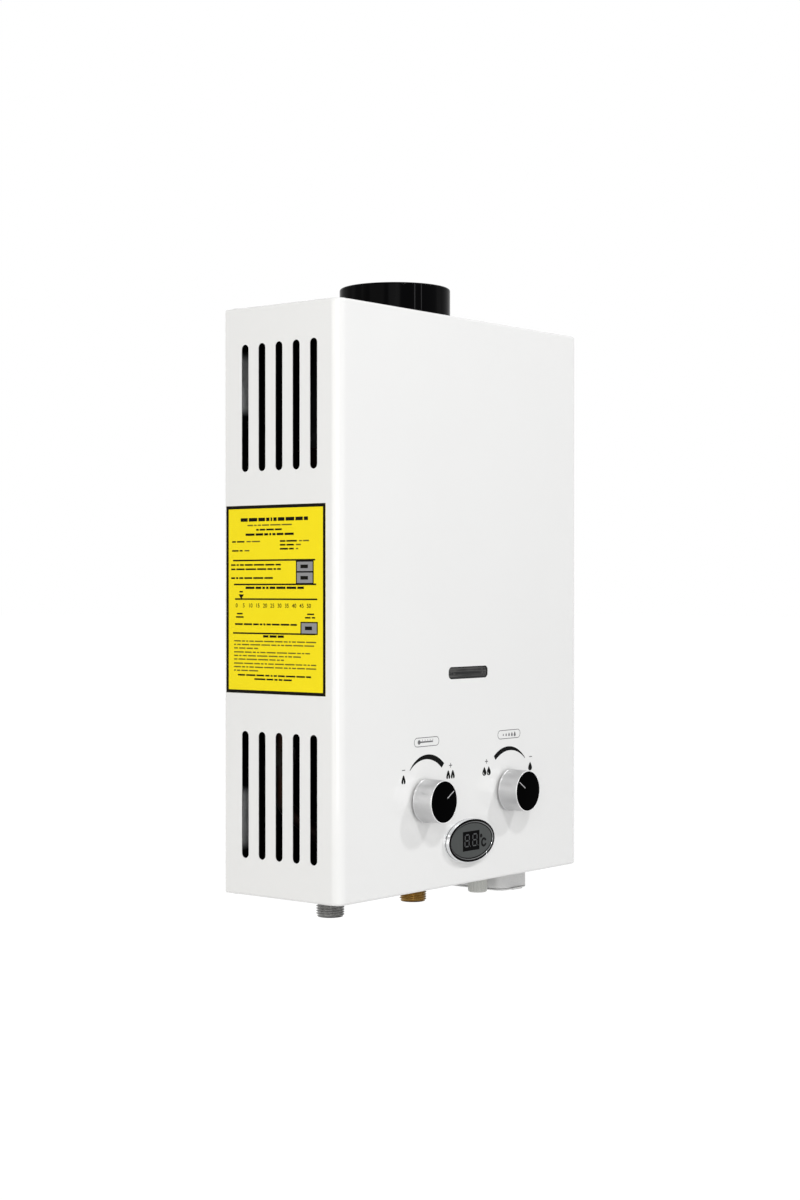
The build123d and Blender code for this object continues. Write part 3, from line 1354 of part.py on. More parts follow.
# Overheat cut-out on the jacket's front
stat_z = jacket_top - STAT_DROP
with BuildPart() as overheat_stat:
    with BuildSketch(Plane.XZ.offset(-jacket_front)):
        with Locations((HEAT_X, stat_z)):
            Circle(STAT_FLANGE_R)
    extrude(amount=STAT_FLANGE_T)
    with BuildSketch(Plane.XZ.offset(-jacket_front)):
        with Locations((HEAT_X, stat_z)):
            Circle(STAT_R)
    extrude(amount=STAT_T)
finish(overheat_stat, "overheat_stat")

# Outlet sensor: a clip on the hot pipe with a probe
hot_pipe_y = tube_rows[2]
with BuildPart() as outlet_sensor:
    with BuildSketch(Plane.XY.offset(sensor_z)):
        with Locations((hot_pipe_x, hot_pipe_y)):
            Circle(SENSOR_R)
    extrude(amount=SENSOR_H)
    with BuildSketch(Plane.YZ.offset(hot_pipe_x)):
        with Locations((hot_pipe_y, sensor_z + SENSOR_H / 2)):
            Circle(SENSOR_PROBE_R)
    extrude(amount=SENSOR_R + SENSOR_PROBE_L)
    with BuildSketch(Plane.XY.offset(sensor_z)):
        with Locations((hot_pipe_x, hot_pipe_y)):
            Circle(TUBE_R + SENSOR_CLEAR)
    extrude(amount=SENSOR_H, mode=Mode.SUBTRACT)
finish(outlet_sensor, "outlet_sensor")


def foot(x, z, back):
    """Returns a square-section foot from the wall pan forward to a piece that lies back from the wall."""
    depth = back - PLATE_SHEET
    with BuildPart() as channel:
        with BuildSketch(Plane.XY.offset(z - FOOT_H / 2)):
            with Locations((x, -PLATE_SHEET - depth / 2)):
                Rectangle(FOOT_W, depth)
                Rectangle(FOOT_W - 2 * FOOT_SHEET, depth - 2 * FOOT_SHEET, mode=Mode.SUBTRACT)
        extrude(amount=FOOT_H)
    return channel


# Feet of the exchanger, the burner and the valves on the wall pan
exchanger_feet = []
for side in (-1, 1):
    foot_x = HEAT_X + side * (jacket_w / 2 - FOOT_IN)
    exchanger_feet.append(foot(foot_x, jacket_top - FOOT_DROP, BACK_GAP))
    exchanger_feet.append(foot(foot_x, frame_floor + FOOT_H / 2, BACK_GAP))
with BuildPart() as exchanger_brackets:
    for piece in exchanger_feet:
        add(piece.part)
finish(exchanger_brackets, "exchanger_brackets")

gas_foot = foot((gas_left + gas_right) / 2, knob_z, GAS_BACK)
water_foot = foot(water_left + WATER_W / 2, knob_z, WATER_BACK)
with BuildPart() as valve_brackets:
    add(gas_foot.part)
    add(water_foot.part)
finish(valve_brackets, "valve_brackets")
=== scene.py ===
"""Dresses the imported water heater: visible pieces as numpy surfaces, finishes as shader expressions."""

from __future__ import annotations

import json
import logging
import math
from dataclasses import dataclass
from enum import Enum
from itertools import chain
from typing import Any, Callable, Optional, Sequence, Union

import bmesh
import bpy
import numpy as np
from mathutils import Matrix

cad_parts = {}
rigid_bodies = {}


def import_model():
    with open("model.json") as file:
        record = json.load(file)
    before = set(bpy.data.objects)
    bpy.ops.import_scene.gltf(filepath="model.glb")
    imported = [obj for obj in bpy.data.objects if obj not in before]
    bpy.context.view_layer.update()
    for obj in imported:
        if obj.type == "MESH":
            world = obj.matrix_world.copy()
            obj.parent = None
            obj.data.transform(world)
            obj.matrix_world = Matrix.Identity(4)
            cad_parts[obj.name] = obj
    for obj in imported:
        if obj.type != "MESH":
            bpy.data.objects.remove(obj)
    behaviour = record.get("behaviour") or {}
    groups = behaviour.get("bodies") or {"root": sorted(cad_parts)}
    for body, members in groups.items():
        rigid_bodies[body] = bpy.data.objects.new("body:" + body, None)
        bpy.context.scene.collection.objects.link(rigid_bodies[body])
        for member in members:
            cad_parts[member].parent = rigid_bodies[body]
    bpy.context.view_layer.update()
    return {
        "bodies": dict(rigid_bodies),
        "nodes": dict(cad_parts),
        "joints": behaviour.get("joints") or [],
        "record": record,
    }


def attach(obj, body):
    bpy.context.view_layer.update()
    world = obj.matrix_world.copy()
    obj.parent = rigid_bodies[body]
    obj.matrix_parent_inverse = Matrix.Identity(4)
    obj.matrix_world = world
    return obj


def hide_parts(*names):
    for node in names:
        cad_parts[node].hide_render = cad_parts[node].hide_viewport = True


LOG = logging.getLogger("water_heater")
MM = 0.001
BODY = "case"
FORWARD = (0.0, -1.0, 0.0)
Point = tuple[float, float, float]
Colour = tuple[float, float, float]
Spot = tuple[float, float]
Row = tuple[float, float, float, float]
Corners = Sequence[tuple[float, float, float]]


class Way(Enum):
    """Where a turned piece's height points."""

    FRONT = "front"
    UP = "up"
    DOWN = "down"


class Grain(Enum):
    """A metal's texture: its noise's octaves and factors on the three axes, or nothing for flat cells."""

    BRUSHED = (3.0, (1.0, 1.0, 0.03))
    TURNED = (3.0, (0.05, 0.05, 1.0))
    CAST = (5.0, (1.0, 1.0, 1.0))
    SPANGLE = None


# Shader expressions


def first(operation: str) -> Callable[[Wire, Operand], Wire]:
    """An operator that adds a Math node with its own wire first."""
    return lambda wire, other: wire.maths(operation, other)


def second(operation: str) -> Callable[[Wire, float], Wire]:
    """An operator that adds a Math node with its own wire second."""
    return lambda wire, other: wire.shader.add("Math", {"operation": operation}, {0: other, 1: wire})[0]


class Wire:
    """A shader socket that takes part in Python arithmetic."""

    def __init__(self, shader: Shader, socket: bpy.types.NodeSocket) -> None:
        """Keeps the socket and the shader it belongs to."""
        self.shader = shader
        self.socket = socket

    def maths(self, operation: str, *others: Operand) -> Wire:
        """Adds a Math node with this wire first and the others after it."""
        inputs = dict(enumerate((self, *others)))
        return self.shader.add("Math", {"operation": operation}, inputs)[0]

    __add__ = first("ADD")
    __radd__ = second("ADD")
    __sub__ = first("SUBTRACT")
    __rsub__ = second("SUBTRACT")
    __mul__ = first("MULTIPLY")
    __rmul__ = second("MULTIPLY")
    __pow__ = first("POWER")
    below = first("LESS_THAN")
    larger = first("MAXIMUM")

    def __abs__(self) -> Wire:
        """This without its sign."""
        return self.maths("ABSOLUTE")

    def beside(self, other: Wire) -> Wire:
        """The root of this squared plus other squared, each only where it is above nought."""
        here, there = self.larger(0.0), other.larger(0.0)
        return (here * here + there * there) ** 0.5

    def ramp(self, low: float, high: float) -> Wire:
        """Rises smoothly from nought at low to one at high."""
        inputs = {"Value": self, "From Min": low, "From Max": high}
        return self.shader.add("MapRange", {"interpolation_type": "SMOOTHSTEP"}, inputs)["Result"]


Operand = Union[Wire, float]


class Node:
    """A shader node whose outputs are read as wires."""

    def __init__(self, shader: Shader, node: bpy.types.Node) -> None:
        """Keeps the node and its shader."""
        self.shader = shader
        self.node = node

    def __getitem__(self, key: Union[int, str]) -> Wire:
        """The output of that name or number."""
        return Wire(self.shader, self.node.outputs[key])


class Shader:
    """A node tree that is being filled, of a material or the world."""

    def __init__(self, tree: bpy.types.NodeTree) -> None:
        """Empties the tree."""
        self.tree = tree
        tree.nodes.clear()

    def add(self, kind: str, settings: dict[str, Any], inputs: dict[Union[int, str], Any]) -> Node:
        """Adds a node, first its settings and then its sockets.

        Args:
            kind: the node's type, as it follows ShaderNode.
            settings: properties by name.
            inputs: values or wires by socket name or number.

        Returns:
            The node.
        """
        node = self.tree.nodes.new(f"ShaderNode{kind}")
        for name, value in settings.items():
            setattr(node, name, value)
        for key, value in inputs.items():
            if isinstance(value, Wire):
                self.tree.links.new(value.socket, node.inputs[key])
            elif isinstance(value, tuple) and len(value) == 3 and node.inputs[key].type == "RGBA":
                node.inputs[key].default_value = (*value, 1.0)
            else:
                node.inputs[key].default_value = value
        return Node(self, node)

    def place(self) -> Wire:
        """The point on the surface in the object's own metres."""
        return self.add("TexCoord", {}, {})["Object"]

    def axes(self) -> tuple[Wire, Wire, Wire]:
        """The point's three coordinates."""
        split = self.add("SeparateXYZ", {}, {0: self.place()})
        return split["X"], split["Y"], split["Z"]

    def noise(self, scale: float, detail: float = 3.0, stretch: Point = (1.0, 1.0, 1.0)) -> Wire:
        """Smooth noise between nought and one.

        Args:
            scale: cells to the metre.
            detail: octaves.
            stretch: factors on the three axes.

        Returns:
            The noise.
        """
        spot = self.add("Mapping", {}, {"Vector": self.place(), "Scale": stretch})["Vector"]
        inputs = {"Vector": spot, "Scale": scale, "Detail": detail}
        return self.add("TexNoise", {}, inputs)["Fac"]

    def cells(self, scale: float) -> Wire:
        """A flat random value in each of many cells.

        Args:
            scale: cells to the metre.

        Returns:
            The value.
        """
        inputs = {"Vector": self.place(), "Scale": scale}
        colour = self.add("TexVoronoi", {"feature": "F1"}, inputs)["Color"]
        return self.add("SeparateColor", {}, {0: colour})["Red"]

    def blend(self, share: Operand, one: Union[Wire, Colour], other: Union[Wire, Colour]) -> Wire:
        """Mixes two colours; share is the other's part of the mixture."""
        settings = {"data_type": "RGBA", "clamp_factor": True}
        return self.add("Mix", settings, {0: share, 6: one, 7: other})[2]

    def bump(self, height: Wire, depth: float) -> Wire:
        """A normal tilted by a height that goes from nought to one over depth metres."""
        return self.add("Bump", {}, {"Height": height, "Distance": depth, "Strength": 1.0})["Normal"]

    def seen(self) -> Wire:
        """One for rays from the camera, from mirrors and through glass, else nought."""
        path = self.add("LightPath", {}, {})
        return path["Is Camera Ray"].larger(path["Is Glossy Ray"]).larger(path["Is Transmission Ray"])

    def surface(self, **sockets: Any) -> None:
        """Ends the tree in one principled surface.

        Args:
            sockets: values or wires by socket name, with _ for a space.
        """
        inputs = {name.replace("_", " "): value for name, value in sockets.items()}
        bsdf = self.add("BsdfPrincipled", {}, inputs)["BSDF"]
        self.add("OutputMaterial", {}, {"Surface": bsdf})


# Finishes


def grey(level: float) -> Colour:
    """A colour without hue."""
    return (level, level, level)


def toned(colour: Colour, factor: float) -> Colour:
    """A colour times a factor."""
    return tuple(factor * part for part in colour)


def paler(colour: Colour, share: float) -> Colour:
    """A colour brought a share of the way to white."""
    return tuple(part + share * (1.0 - part) for part in colour)


@dataclass(frozen=True)
class Finish:
    """A surface finish that makes its material on first use."""

    name: str

    def material(self) -> bpy.types.Material:
        """Makes or finds the finish's material.

        Returns:
            The material.
        """
        made = bpy.data.materials.get(self.name)
        if made is None:
            made = bpy.data.materials.new(self.name)
            made.use_nodes = True
            self.shade(Shader(made.node_tree))
        return made

    def shade(self, shader: Shader) -> None:
        """Fills the material's nodes."""
        raise NotImplementedError


@dataclass(frozen=True)
class Enamel(Finish):
    """Baked paint with orange peel on the outside, and a dark coat on the inside of the case that is painted
    shade.
    """

    colour: Colour
    # painted shade: the dark colour of the inside of the case
    primer: Colour
    half: Point
    corner: float
    edge: float
    sheet: float

    def inner(self, shader: Shader) -> Wire:
        """One on the inner side of the sheet.

        The plan is a rectangle with rounded corners and its top and bottom edges are rounded too: the
        distance past the corner's centre line, less corner plus edge, and the distance past the edge's
        centre line make a radius that is the edge's own on the outer face and less by the sheet within.

        Args:
            shader: the tree that is being filled.

        Returns:
            The mask.
        """
        x, y, z = shader.axes()
        wide, deep, tall = self.half
        round_corner = (abs(x) - (wide - self.corner)).beside(self.corner - deep - y)
        radius = (round_corner - (self.corner - self.edge)).beside(abs(z) - (tall - self.edge))
        return radius.below(self.edge - self.sheet / 2)

    def shade(self, shader: Shader) -> None:
        """Paint where the point lies on the case's outer skin, painted shade within, both with fine
        unevenness.

        Args:
            shader: the tree that is filled.
        """
        within = self.inner(shader)
        cloud = shader.noise(9.0, 4.0)
        speck = shader.noise(2600.0, 2.0)
        paint = shader.blend(cloud, toned(self.colour, 0.985), toned(self.colour, 1.012))
        dust = shader.blend(speck.ramp(0.68, 0.8) * 0.25, paint, toned(self.colour, 0.86))
        # painted shade: the inside of the cover darkened, mottled darker by a slow noise
        mottled_inner_shade = shader.blend(shader.noise(60.0), self.primer, toned(self.primer, 0.4))
        peel = shader.noise(420.0, 2.0) * 0.7 + shader.noise(1500.0, 1.0) * 0.3
        shader.surface(
            Base_Color=shader.blend(within, dust, mottled_inner_shade),
            Roughness=(0.2 + cloud * 0.06 + speck * 0.05) * (1 - within) + within * 0.75,
            Coat_Weight=0.5 * (1 - within),
            Coat_Roughness=0.06,
            Specular_IOR_Level=0.4,
            Normal=shader.bump(peel, 1.2e-5),
        )


@dataclass(frozen=True)
class Metal(Finish):
    """Bare or plated metal with a grain and stains."""

    colour: Colour
    stain: Colour
    roughness: float
    grain: Grain
    scale: float
    depth: float
    soiling: float

    def layers(self, shader: Shader) -> tuple[Wire, Wire, Wire, Wire]:
        """The grain, and stains that follow a slow noise.

        Args:
            shader: the tree that is being filled.

        Returns:
            The grain, the stained colour, how metallic it is and how rough.
        """
        cells = self.grain is Grain.SPANGLE
        texture = shader.cells(self.scale) if cells else shader.noise(self.scale, *self.grain.value)
        patch = shader.noise(28.0, 5.0).ramp(0.42, 0.72)
        lit = shader.blend(texture, toned(self.colour, 0.84), self.colour)
        colour = shader.blend(patch * self.soiling, lit, self.stain)
        metallic = 1.0 - patch * self.soiling * 0.5
        return texture, colour, metallic, self.roughness + texture * 0.1 + patch * 0.12

    def shade(self, shader: Shader) -> None:
        """Stained metal whose grain tilts the normal.

        Args:
            shader: the tree that is filled.
        """
        texture, colour, metallic, rough = self.layers(shader)
        normal = shader.bump(texture, self.depth)
        shader.surface(Base_Color=colour, Metallic=metallic, Roughness=rough, Normal=normal)


@dataclass(frozen=True)
class PanSheet(Metal):
    """The wall pan: zinc behind, painted shade in black over its inside, and dull zinc left at four corner
    patches as painted light.
    """

    # painted shade over the pan's inside; the corner patch bounds below mark painted light
    lining: Colour = (0.0015, 0.0015, 0.0016)
    skin: float = -0.0004
    bare_side: float = 0.118
    bare_near: float = 0.142
    bare_far: float = 0.18

    def shade(self, shader: Shader) -> None:
        """Zinc spangle under painted shade that covers what lies in front of the pan's back, except at the
        lighter corner patches.

        Args:
            shader: the tree that is filled.
        """
        x, y, z = shader.axes()
        inside = y.below(self.skin)
        # painted light: lighter dull zinc at the four corners where light through the side slots falls
        corner = abs(z).ramp(self.bare_near - 0.005, self.bare_near + 0.003)
        corner = corner * (1 - abs(z).ramp(self.bare_far - 0.003, self.bare_far + 0.006))
        lit_patch = corner * abs(x).ramp(self.bare_side, self.bare_side + 0.006)
        spangle, zinc, metallic, rough = self.layers(shader)
        shader.surface(
            Base_Color=shader.blend(inside * (1 - lit_patch), zinc, self.lining),
            Metallic=metallic * (1 - inside),
            Roughness=rough + inside * 0.25,
            Specular_IOR_Level=0.06,
            Normal=shader.bump(spangle, self.depth),
        )


@dataclass(frozen=True)
class Plastic(Finish):
    """Moulded plastic, rubber or porcelain with a fine grain."""

    colour: Colour
    roughness: float
    grain: float
    depth: float
    sheen: float = 0.5
    coat: float = 0.0
    dusty: float = 1.0

    def shade(self, shader: Shader) -> None:
        """An even body colour with flow marks, handling dust and a fine grained normal.

        Args:
            shader: the tree that is filled.
        """
        grain = shader.noise(self.grain, 3.0)
        flow = shader.noise(22.0, 4.0, (1.0, 1.0, 2.5))
        dust = shader.noise(700.0, 5.0).ramp(0.62, 0.82)
        body = shader.blend(flow, toned(self.colour, 0.93), self.colour)
        shader.surface(
            Base_Color=shader.blend(dust * 0.3, body, paler(self.colour, 0.06 * self.dusty)),
            Roughness=self.roughness + grain * 0.08 + dust * 0.06,
            Coat_Weight=self.coat,
            Coat_Roughness=0.04,
            Specular_IOR_Level=self.sheen,
            Normal=shader.bump(grain, self.depth),
        )


@dataclass(frozen=True)
class SeamPaint(Plastic):
    """Glossy black paint on a rolled collar, with painted reflections: grey lines along the two edges of its
    lap seam and faint lighter streaks.
    """

    centre: Spot = (0.0, 0.0)
    seam: float = 0.0
    seam_half: float = 0.0
    # painted reflections: the lift of the lighter streaks and the grey of the seam lines
    streaked: float = 0.004
    worn: Colour = (0.035, 0.035, 0.036)

    def shade(self, shader: Shader) -> None:
        """Paint with lighter streaks as painted reflections; the painted reflection lines follow the angle
        from each seam edge round the collar's axis.

        Args:
            shader: the tree that is filled.
        """
        x, y, _ = shader.axes()
        turn = (y - self.centre[1]).maths("ARCTAN2", x - self.centre[0])
        from_edge = abs(abs(turn - self.seam) - self.seam_half)
        grain = shader.noise(self.grain, 3.0)
        # painted reflection: faint lighter vertical streaks
        streak = shader.noise(160.0, 3.0, (1.0, 1.0, 0.05)).ramp(0.45, 0.75)
        # painted reflection: grey lines along both edges of the seam
        line = (1 - from_edge.ramp(0.004, 0.012)) * (0.5 + shader.noise(300.0) * 0.5)
        faint = tuple(part + self.streaked for part in self.colour)
        shader.surface(
            Base_Color=shader.blend(line, shader.blend(streak, self.colour, faint), self.worn),
            Roughness=self.roughness + grain * 0.08 + line * 0.15,
            Specular_IOR_Level=self.sheen,
            Normal=shader.bump(grain, self.depth),
        )


@dataclass(frozen=True)
class SightGlass(Finish):
    """Dark heat-proof glass with smoky streaks."""

    clear: Colour
    smoke: Colour
    middle: Spot
    half: Spot
    corner: float

    def shade(self, shader: Shader) -> None:
        """Streaks along the slot and mottled ends, under a glassy coat.

        The rim darkens with the distance to the slot's rounded edge: the distance past the corner centres'
        rectangle less the corner's radius.

        Args:
            shader: the tree that is filled.
        """
        x, _, z = shader.axes()
        along, up = abs(x - self.middle[0]), abs(z - self.middle[1])
        past = (along - (self.half[0] - self.corner)).beside(up - (self.half[1] - self.corner))
        rim = past.ramp(self.corner - 0.0017, self.corner - 0.0004)
        streak = shader.noise(150.0, 4.0, (0.14, 1.0, 3.4)).ramp(0.4, 0.68)
        fine = shader.noise(900.0, 4.0, (0.4, 1.0, 1.0))
        mottle = shader.noise(420.0, 3.0).ramp(0.35, 0.7) * along.ramp(0.012, 0.02)
        share = (streak * (0.6 + fine * 0.4)).larger(mottle * 0.6) * (1.0 - rim)
        shader.surface(
            Base_Color=shader.blend(share, self.smoke, self.clear),
            Roughness=0.12 + fine * 0.1,
            Coat_Weight=0.15,
            Coat_Roughness=0.03,
            Specular_IOR_Level=0.1,
            Normal=shader.bump(shader.noise(300.0), 4e-6),
        )


@dataclass(frozen=True)
class Ink(Finish):
    """Screen-printed ink with a faint mesh of pinholes."""

    colour: Colour
    roughness: float = 0.45

    def shade(self, shader: Shader) -> None:
        """Ink that thins in fine specks.

        Args:
            shader: the tree that is filled.
        """
        speck = shader.noise(3200.0, 2.0).ramp(0.55, 0.85)
        shader.surface(
            Base_Color=shader.blend(speck, self.colour, paler(self.colour, 0.005)),
            Roughness=self.roughness + speck * 0.15,
            Specular_IOR_Level=0.04,
            Normal=shader.bump(speck, 4e-6),
        )


@dataclass(frozen=True)
class Foil(Finish):
    """Laminated label stock with fibres and slight mottling."""

    colour: Colour
    ground: Colour

    def shade(self, shader: Shader) -> None:
        """Fibres at a few tenths of a millimetre and a slow mottling of the ground colour.

        Args:
            shader: the tree that is filled.
        """
        fibre = shader.noise(1400.0, 4.0, (1.0, 0.35, 1.6))
        shader.surface(
            Base_Color=shader.blend(shader.noise(45.0, 5.0) * 0.6 + fibre * 0.4, self.ground, self.colour),
            Roughness=0.3 + fibre * 0.14,
            Coat_Weight=0.05,
            Coat_Roughness=0.15,
            Specular_IOR_Level=0.12,
            Normal=shader.bump(fibre, 8e-6),
        )


@dataclass(frozen=True)
class Floor(Finish):
    """A matt studio floor, white to the camera but for the shadow, and clear from below."""

    colour: Colour
    glow: float
    share: float

    def shade(self, shader: Shader) -> None:
        """A glow mixed into the matt floor where it is seen, and nothing on the back of its faces.

        Args:
            shader: the tree that is filled.
        """
        matt = shader.add("BsdfDiffuse", {}, {"Color": self.colour})["BSDF"]
        glow = shader.add("Emission", {}, {"Color": grey(1.0), "Strength": self.glow})["Emission"]
        mixed = shader.add("MixShader", {}, {0: shader.seen() * self.share, 1: matt, 2: glow})["Shader"]
        below = shader.add("NewGeometry", {}, {})["Backfacing"]
        clear = shader.add("BsdfTransparent", {}, {})["BSDF"]
        sided = shader.add("MixShader", {}, {0: below, 1: mixed, 2: clear})["Shader"]
        shader.add("OutputMaterial", {}, {"Surface": sided})


FLOOR_WHITE = Floor("studio_floor_white", grey(0.8), 1.13, 0.85)
WHITE = Enamel(
    name="white_enamel_paint",
    colour=(0.80, 0.80, 0.795),
    # painted shade: the dark colour inside the cover
    primer=(0.025, 0.025, 0.026),
    half=(0.15, 0.11, 0.215),
    corner=0.008,
    edge=0.002,
    sheet=0.0008,
)
COLLAR_BLACK = SeamPaint(
    name="collar_black_enamel",
    colour=(0.0012, 0.0012, 0.0014),
    roughness=0.08,
    grain=380.0,
    depth=8e-6,
    sheen=0.02,
    centre=(-0.0185, -0.054),
    seam=math.radians(243.3 - 360.0),
    seam_half=math.radians(3.7),
)
FACE_BLACK = Plastic("knob_face_black", (0.0006, 0.0006, 0.0007), 0.2, 2400.0, 3e-6, 0.004, 0.0, 0.05)
SILVER = Metal("knob_silver", (0.65, 0.65, 0.655), grey(0.5), 0.3, Grain.CAST, 2600.0, 3e-6, 0.05)
# painted highlight: a lighter copy of the knob's silver on its rounded front edge
RIM_SILVER = Metal("knob_rim_silver", grey(0.93), grey(0.8), 0.16, Grain.CAST, 2600.0, 2e-6, 0.05)
CHROME = Metal("bezel_chrome", (0.82, 0.83, 0.84), grey(0.6), 0.06, Grain.CAST, 900.0, 2e-6, 0.06)
GALVANISED = Metal("galvanised_sheet", (0.5, 0.51, 0.52), grey(0.42), 0.36, Grain.SPANGLE, 240.0, 1e-5, 0.3)
PAN = PanSheet("wall_pan_sheet", (0.5, 0.51, 0.52), grey(0.42), 0.36, Grain.SPANGLE, 240.0, 1e-5, 0.3)
# painted shade: a darkened copy of the galvanised sheet for the frame and brackets inside the case
INNER = Metal("inner_sheet", (0.11, 0.112, 0.115), grey(0.03), 0.5, Grain.SPANGLE, 200.0, 1e-5, 0.5)
# painted shade: the draft hood's sheet darkened to near black behind the slots
SHADE_DARKENED_SHEET = Metal("sheet_shade_darkened", (0.03, 0.03, 0.031), grey(0.008), 0.5, Grain.SPANGLE, 130.0, 1e-5, 0.7)
STEEL = Metal("zinc_steel", grey(0.42), (0.2, 0.19, 0.18), 0.3, Grain.TURNED, 1600.0, 1.2e-5, 0.4)
THREAD_STEEL = Metal(
    "thread_steel", (0.4, 0.398, 0.39), (0.06, 0.059, 0.058), 0.14, Grain.TURNED, 1400.0, 1.2e-5, 0.4
)
BRASS = Metal(
    "turned_brass", (0.36, 0.23, 0.07), (0.08, 0.044, 0.012), 0.14, Grain.TURNED, 1500.0, 1e-5, 0.45
)
# painted shade: copper darkened to near black so the pipes and exchanger read dark behind the slots
COPPER = Metal(
    "copper_shade_darkened", (0.022, 0.0095, 0.006), (0.003, 0.0025, 0.0025), 0.36, Grain.BRUSHED, 700.0, 1e-5, 0.8
)
# painted shade: brass darkened to near black for the parts seen through the slots
PROBE = Metal(
    "brass_shade_darkened", (0.012, 0.009, 0.005), (0.003, 0.0025, 0.002), 0.4, Grain.BRUSHED, 700.0, 1e-5, 0.6
)
BURNER = Metal(
    "burner_stainless", (0.4, 0.39, 0.38), (0.12, 0.1, 0.12), 0.34, Grain.BRUSHED, 800.0, 1e-5, 0.55
)
DIE_CAST = Metal("die_cast_aluminium", (0.2, 0.2, 0.21), grey(0.1), 0.46, Grain.CAST, 700.0, 4e-5, 0.35)
CONTACT = Metal(
    "nickel_contact", (0.6, 0.58, 0.53), (0.3, 0.27, 0.22), 0.26, Grain.BRUSHED, 1200.0, 6e-6, 0.3
)
PALE = Plastic("pale_moulding", (0.68, 0.68, 0.675), 0.24, 1500.0, 1.4e-5)
CAP_PALE = Plastic("drain_cap_moulding", (0.54, 0.545, 0.515), 0.38, 1300.0, 1.4e-5)
DARK = Plastic("black_moulding", (0.005, 0.005, 0.0055), 0.46, 1500.0, 2e-5, 0.15)
RUBBER = Plastic("black_rubber", grey(0.025), 0.7, 900.0, 3e-5, 0.3)
LEAD_RED = Plastic("silicone_lead", (0.32, 0.025, 0.018), 0.5, 1100.0, 1e-5)
PORCELAIN = Plastic("glazed_porcelain", (0.8, 0.79, 0.74), 0.12, 300.0, 8e-6, 0.5, 0.6)
SOLENOID = Plastic("solenoid_paint", (0.06, 0.066, 0.08), 0.34, 600.0, 1e-5)
LENS_GREY = Plastic("display_lens_grey", (0.074, 0.079, 0.078), 0.2, 2600.0, 2e-6, 0.06)
LENS_BLACK = Plastic("display_rim_black", (0.001, 0.001, 0.0011), 0.1, 1200.0, 2e-6, 0.03, 0.0, 0.05)
BEVEL_CHROME = Metal(
    "display_bevel_chrome", (0.21, 0.212, 0.215), grey(0.1), 0.02, Grain.CAST, 900.0, 2e-6, 0.06
)
WINDOW = Plastic("display_window", (0.0008, 0.0008, 0.001), 0.2, 1800.0, 2e-6, 0.02, 0.0, 0.1)
GLASS = SightGlass(
    name="sight_glass_dark",
    clear=(0.1, 0.098, 0.095),
    smoke=(0.009, 0.009, 0.01),
    middle=(0.0015, -0.0543),
    half=(0.02475, 0.0046),
    corner=0.0036,
)
BLACK_INK = Ink("black_ink", (0.002, 0.002, 0.0022))
WHITE_INK = Ink("white_ink", grey(0.78))
GREY_INK = Ink("grey_ink", (0.16, 0.16, 0.165))
SEGMENT = Ink("display_segment", (0.085, 0.088, 0.09), 0.3)
POINTER = Ink("pointer_white", (0.55, 0.55, 0.56), 0.4)
LABEL_YELLOW = Foil("label_yellow", (0.93, 0.765, 0.012), (0.87, 0.70, 0.008))
LABEL_INK = Ink("label_ink", (0.006, 0.0055, 0.004), 0.4)
LABEL_FAINT = Ink("label_faint_ink", (0.16, 0.135, 0.02), 0.4)
LABEL_GREY = Ink("label_grey", (0.27, 0.27, 0.28), 0.4)


# Surfaces


def join(*axes: Any) -> np.ndarray:
    """Coordinates, spread to one shape, as the last axis of an array of points."""
    return np.stack(np.broadcast_arrays(*axes), axis=-1)


def column(*values: float) -> np.ndarray:
    """Values down one column."""
    return np.array(values)[:, None]


def full_turn(steps: int) -> np.ndarray:
    """The angles of a number of even steps round a full turn."""
    return np.linspace(0.0, 2.0 * math.pi, steps, endpoint=False)


def circle(turn: np.ndarray) -> np.ndarray:
    """Points x 2 on a unit circle at clockwise angles from upright."""
    return join(np.sin(turn), np.cos(turn))


def fade(depth: Any, width: float) -> np.ndarray:
    """Rises evenly from nought to one as a depth goes from nought to a width."""
    return np.clip(depth / width, 0.0, 1.0)


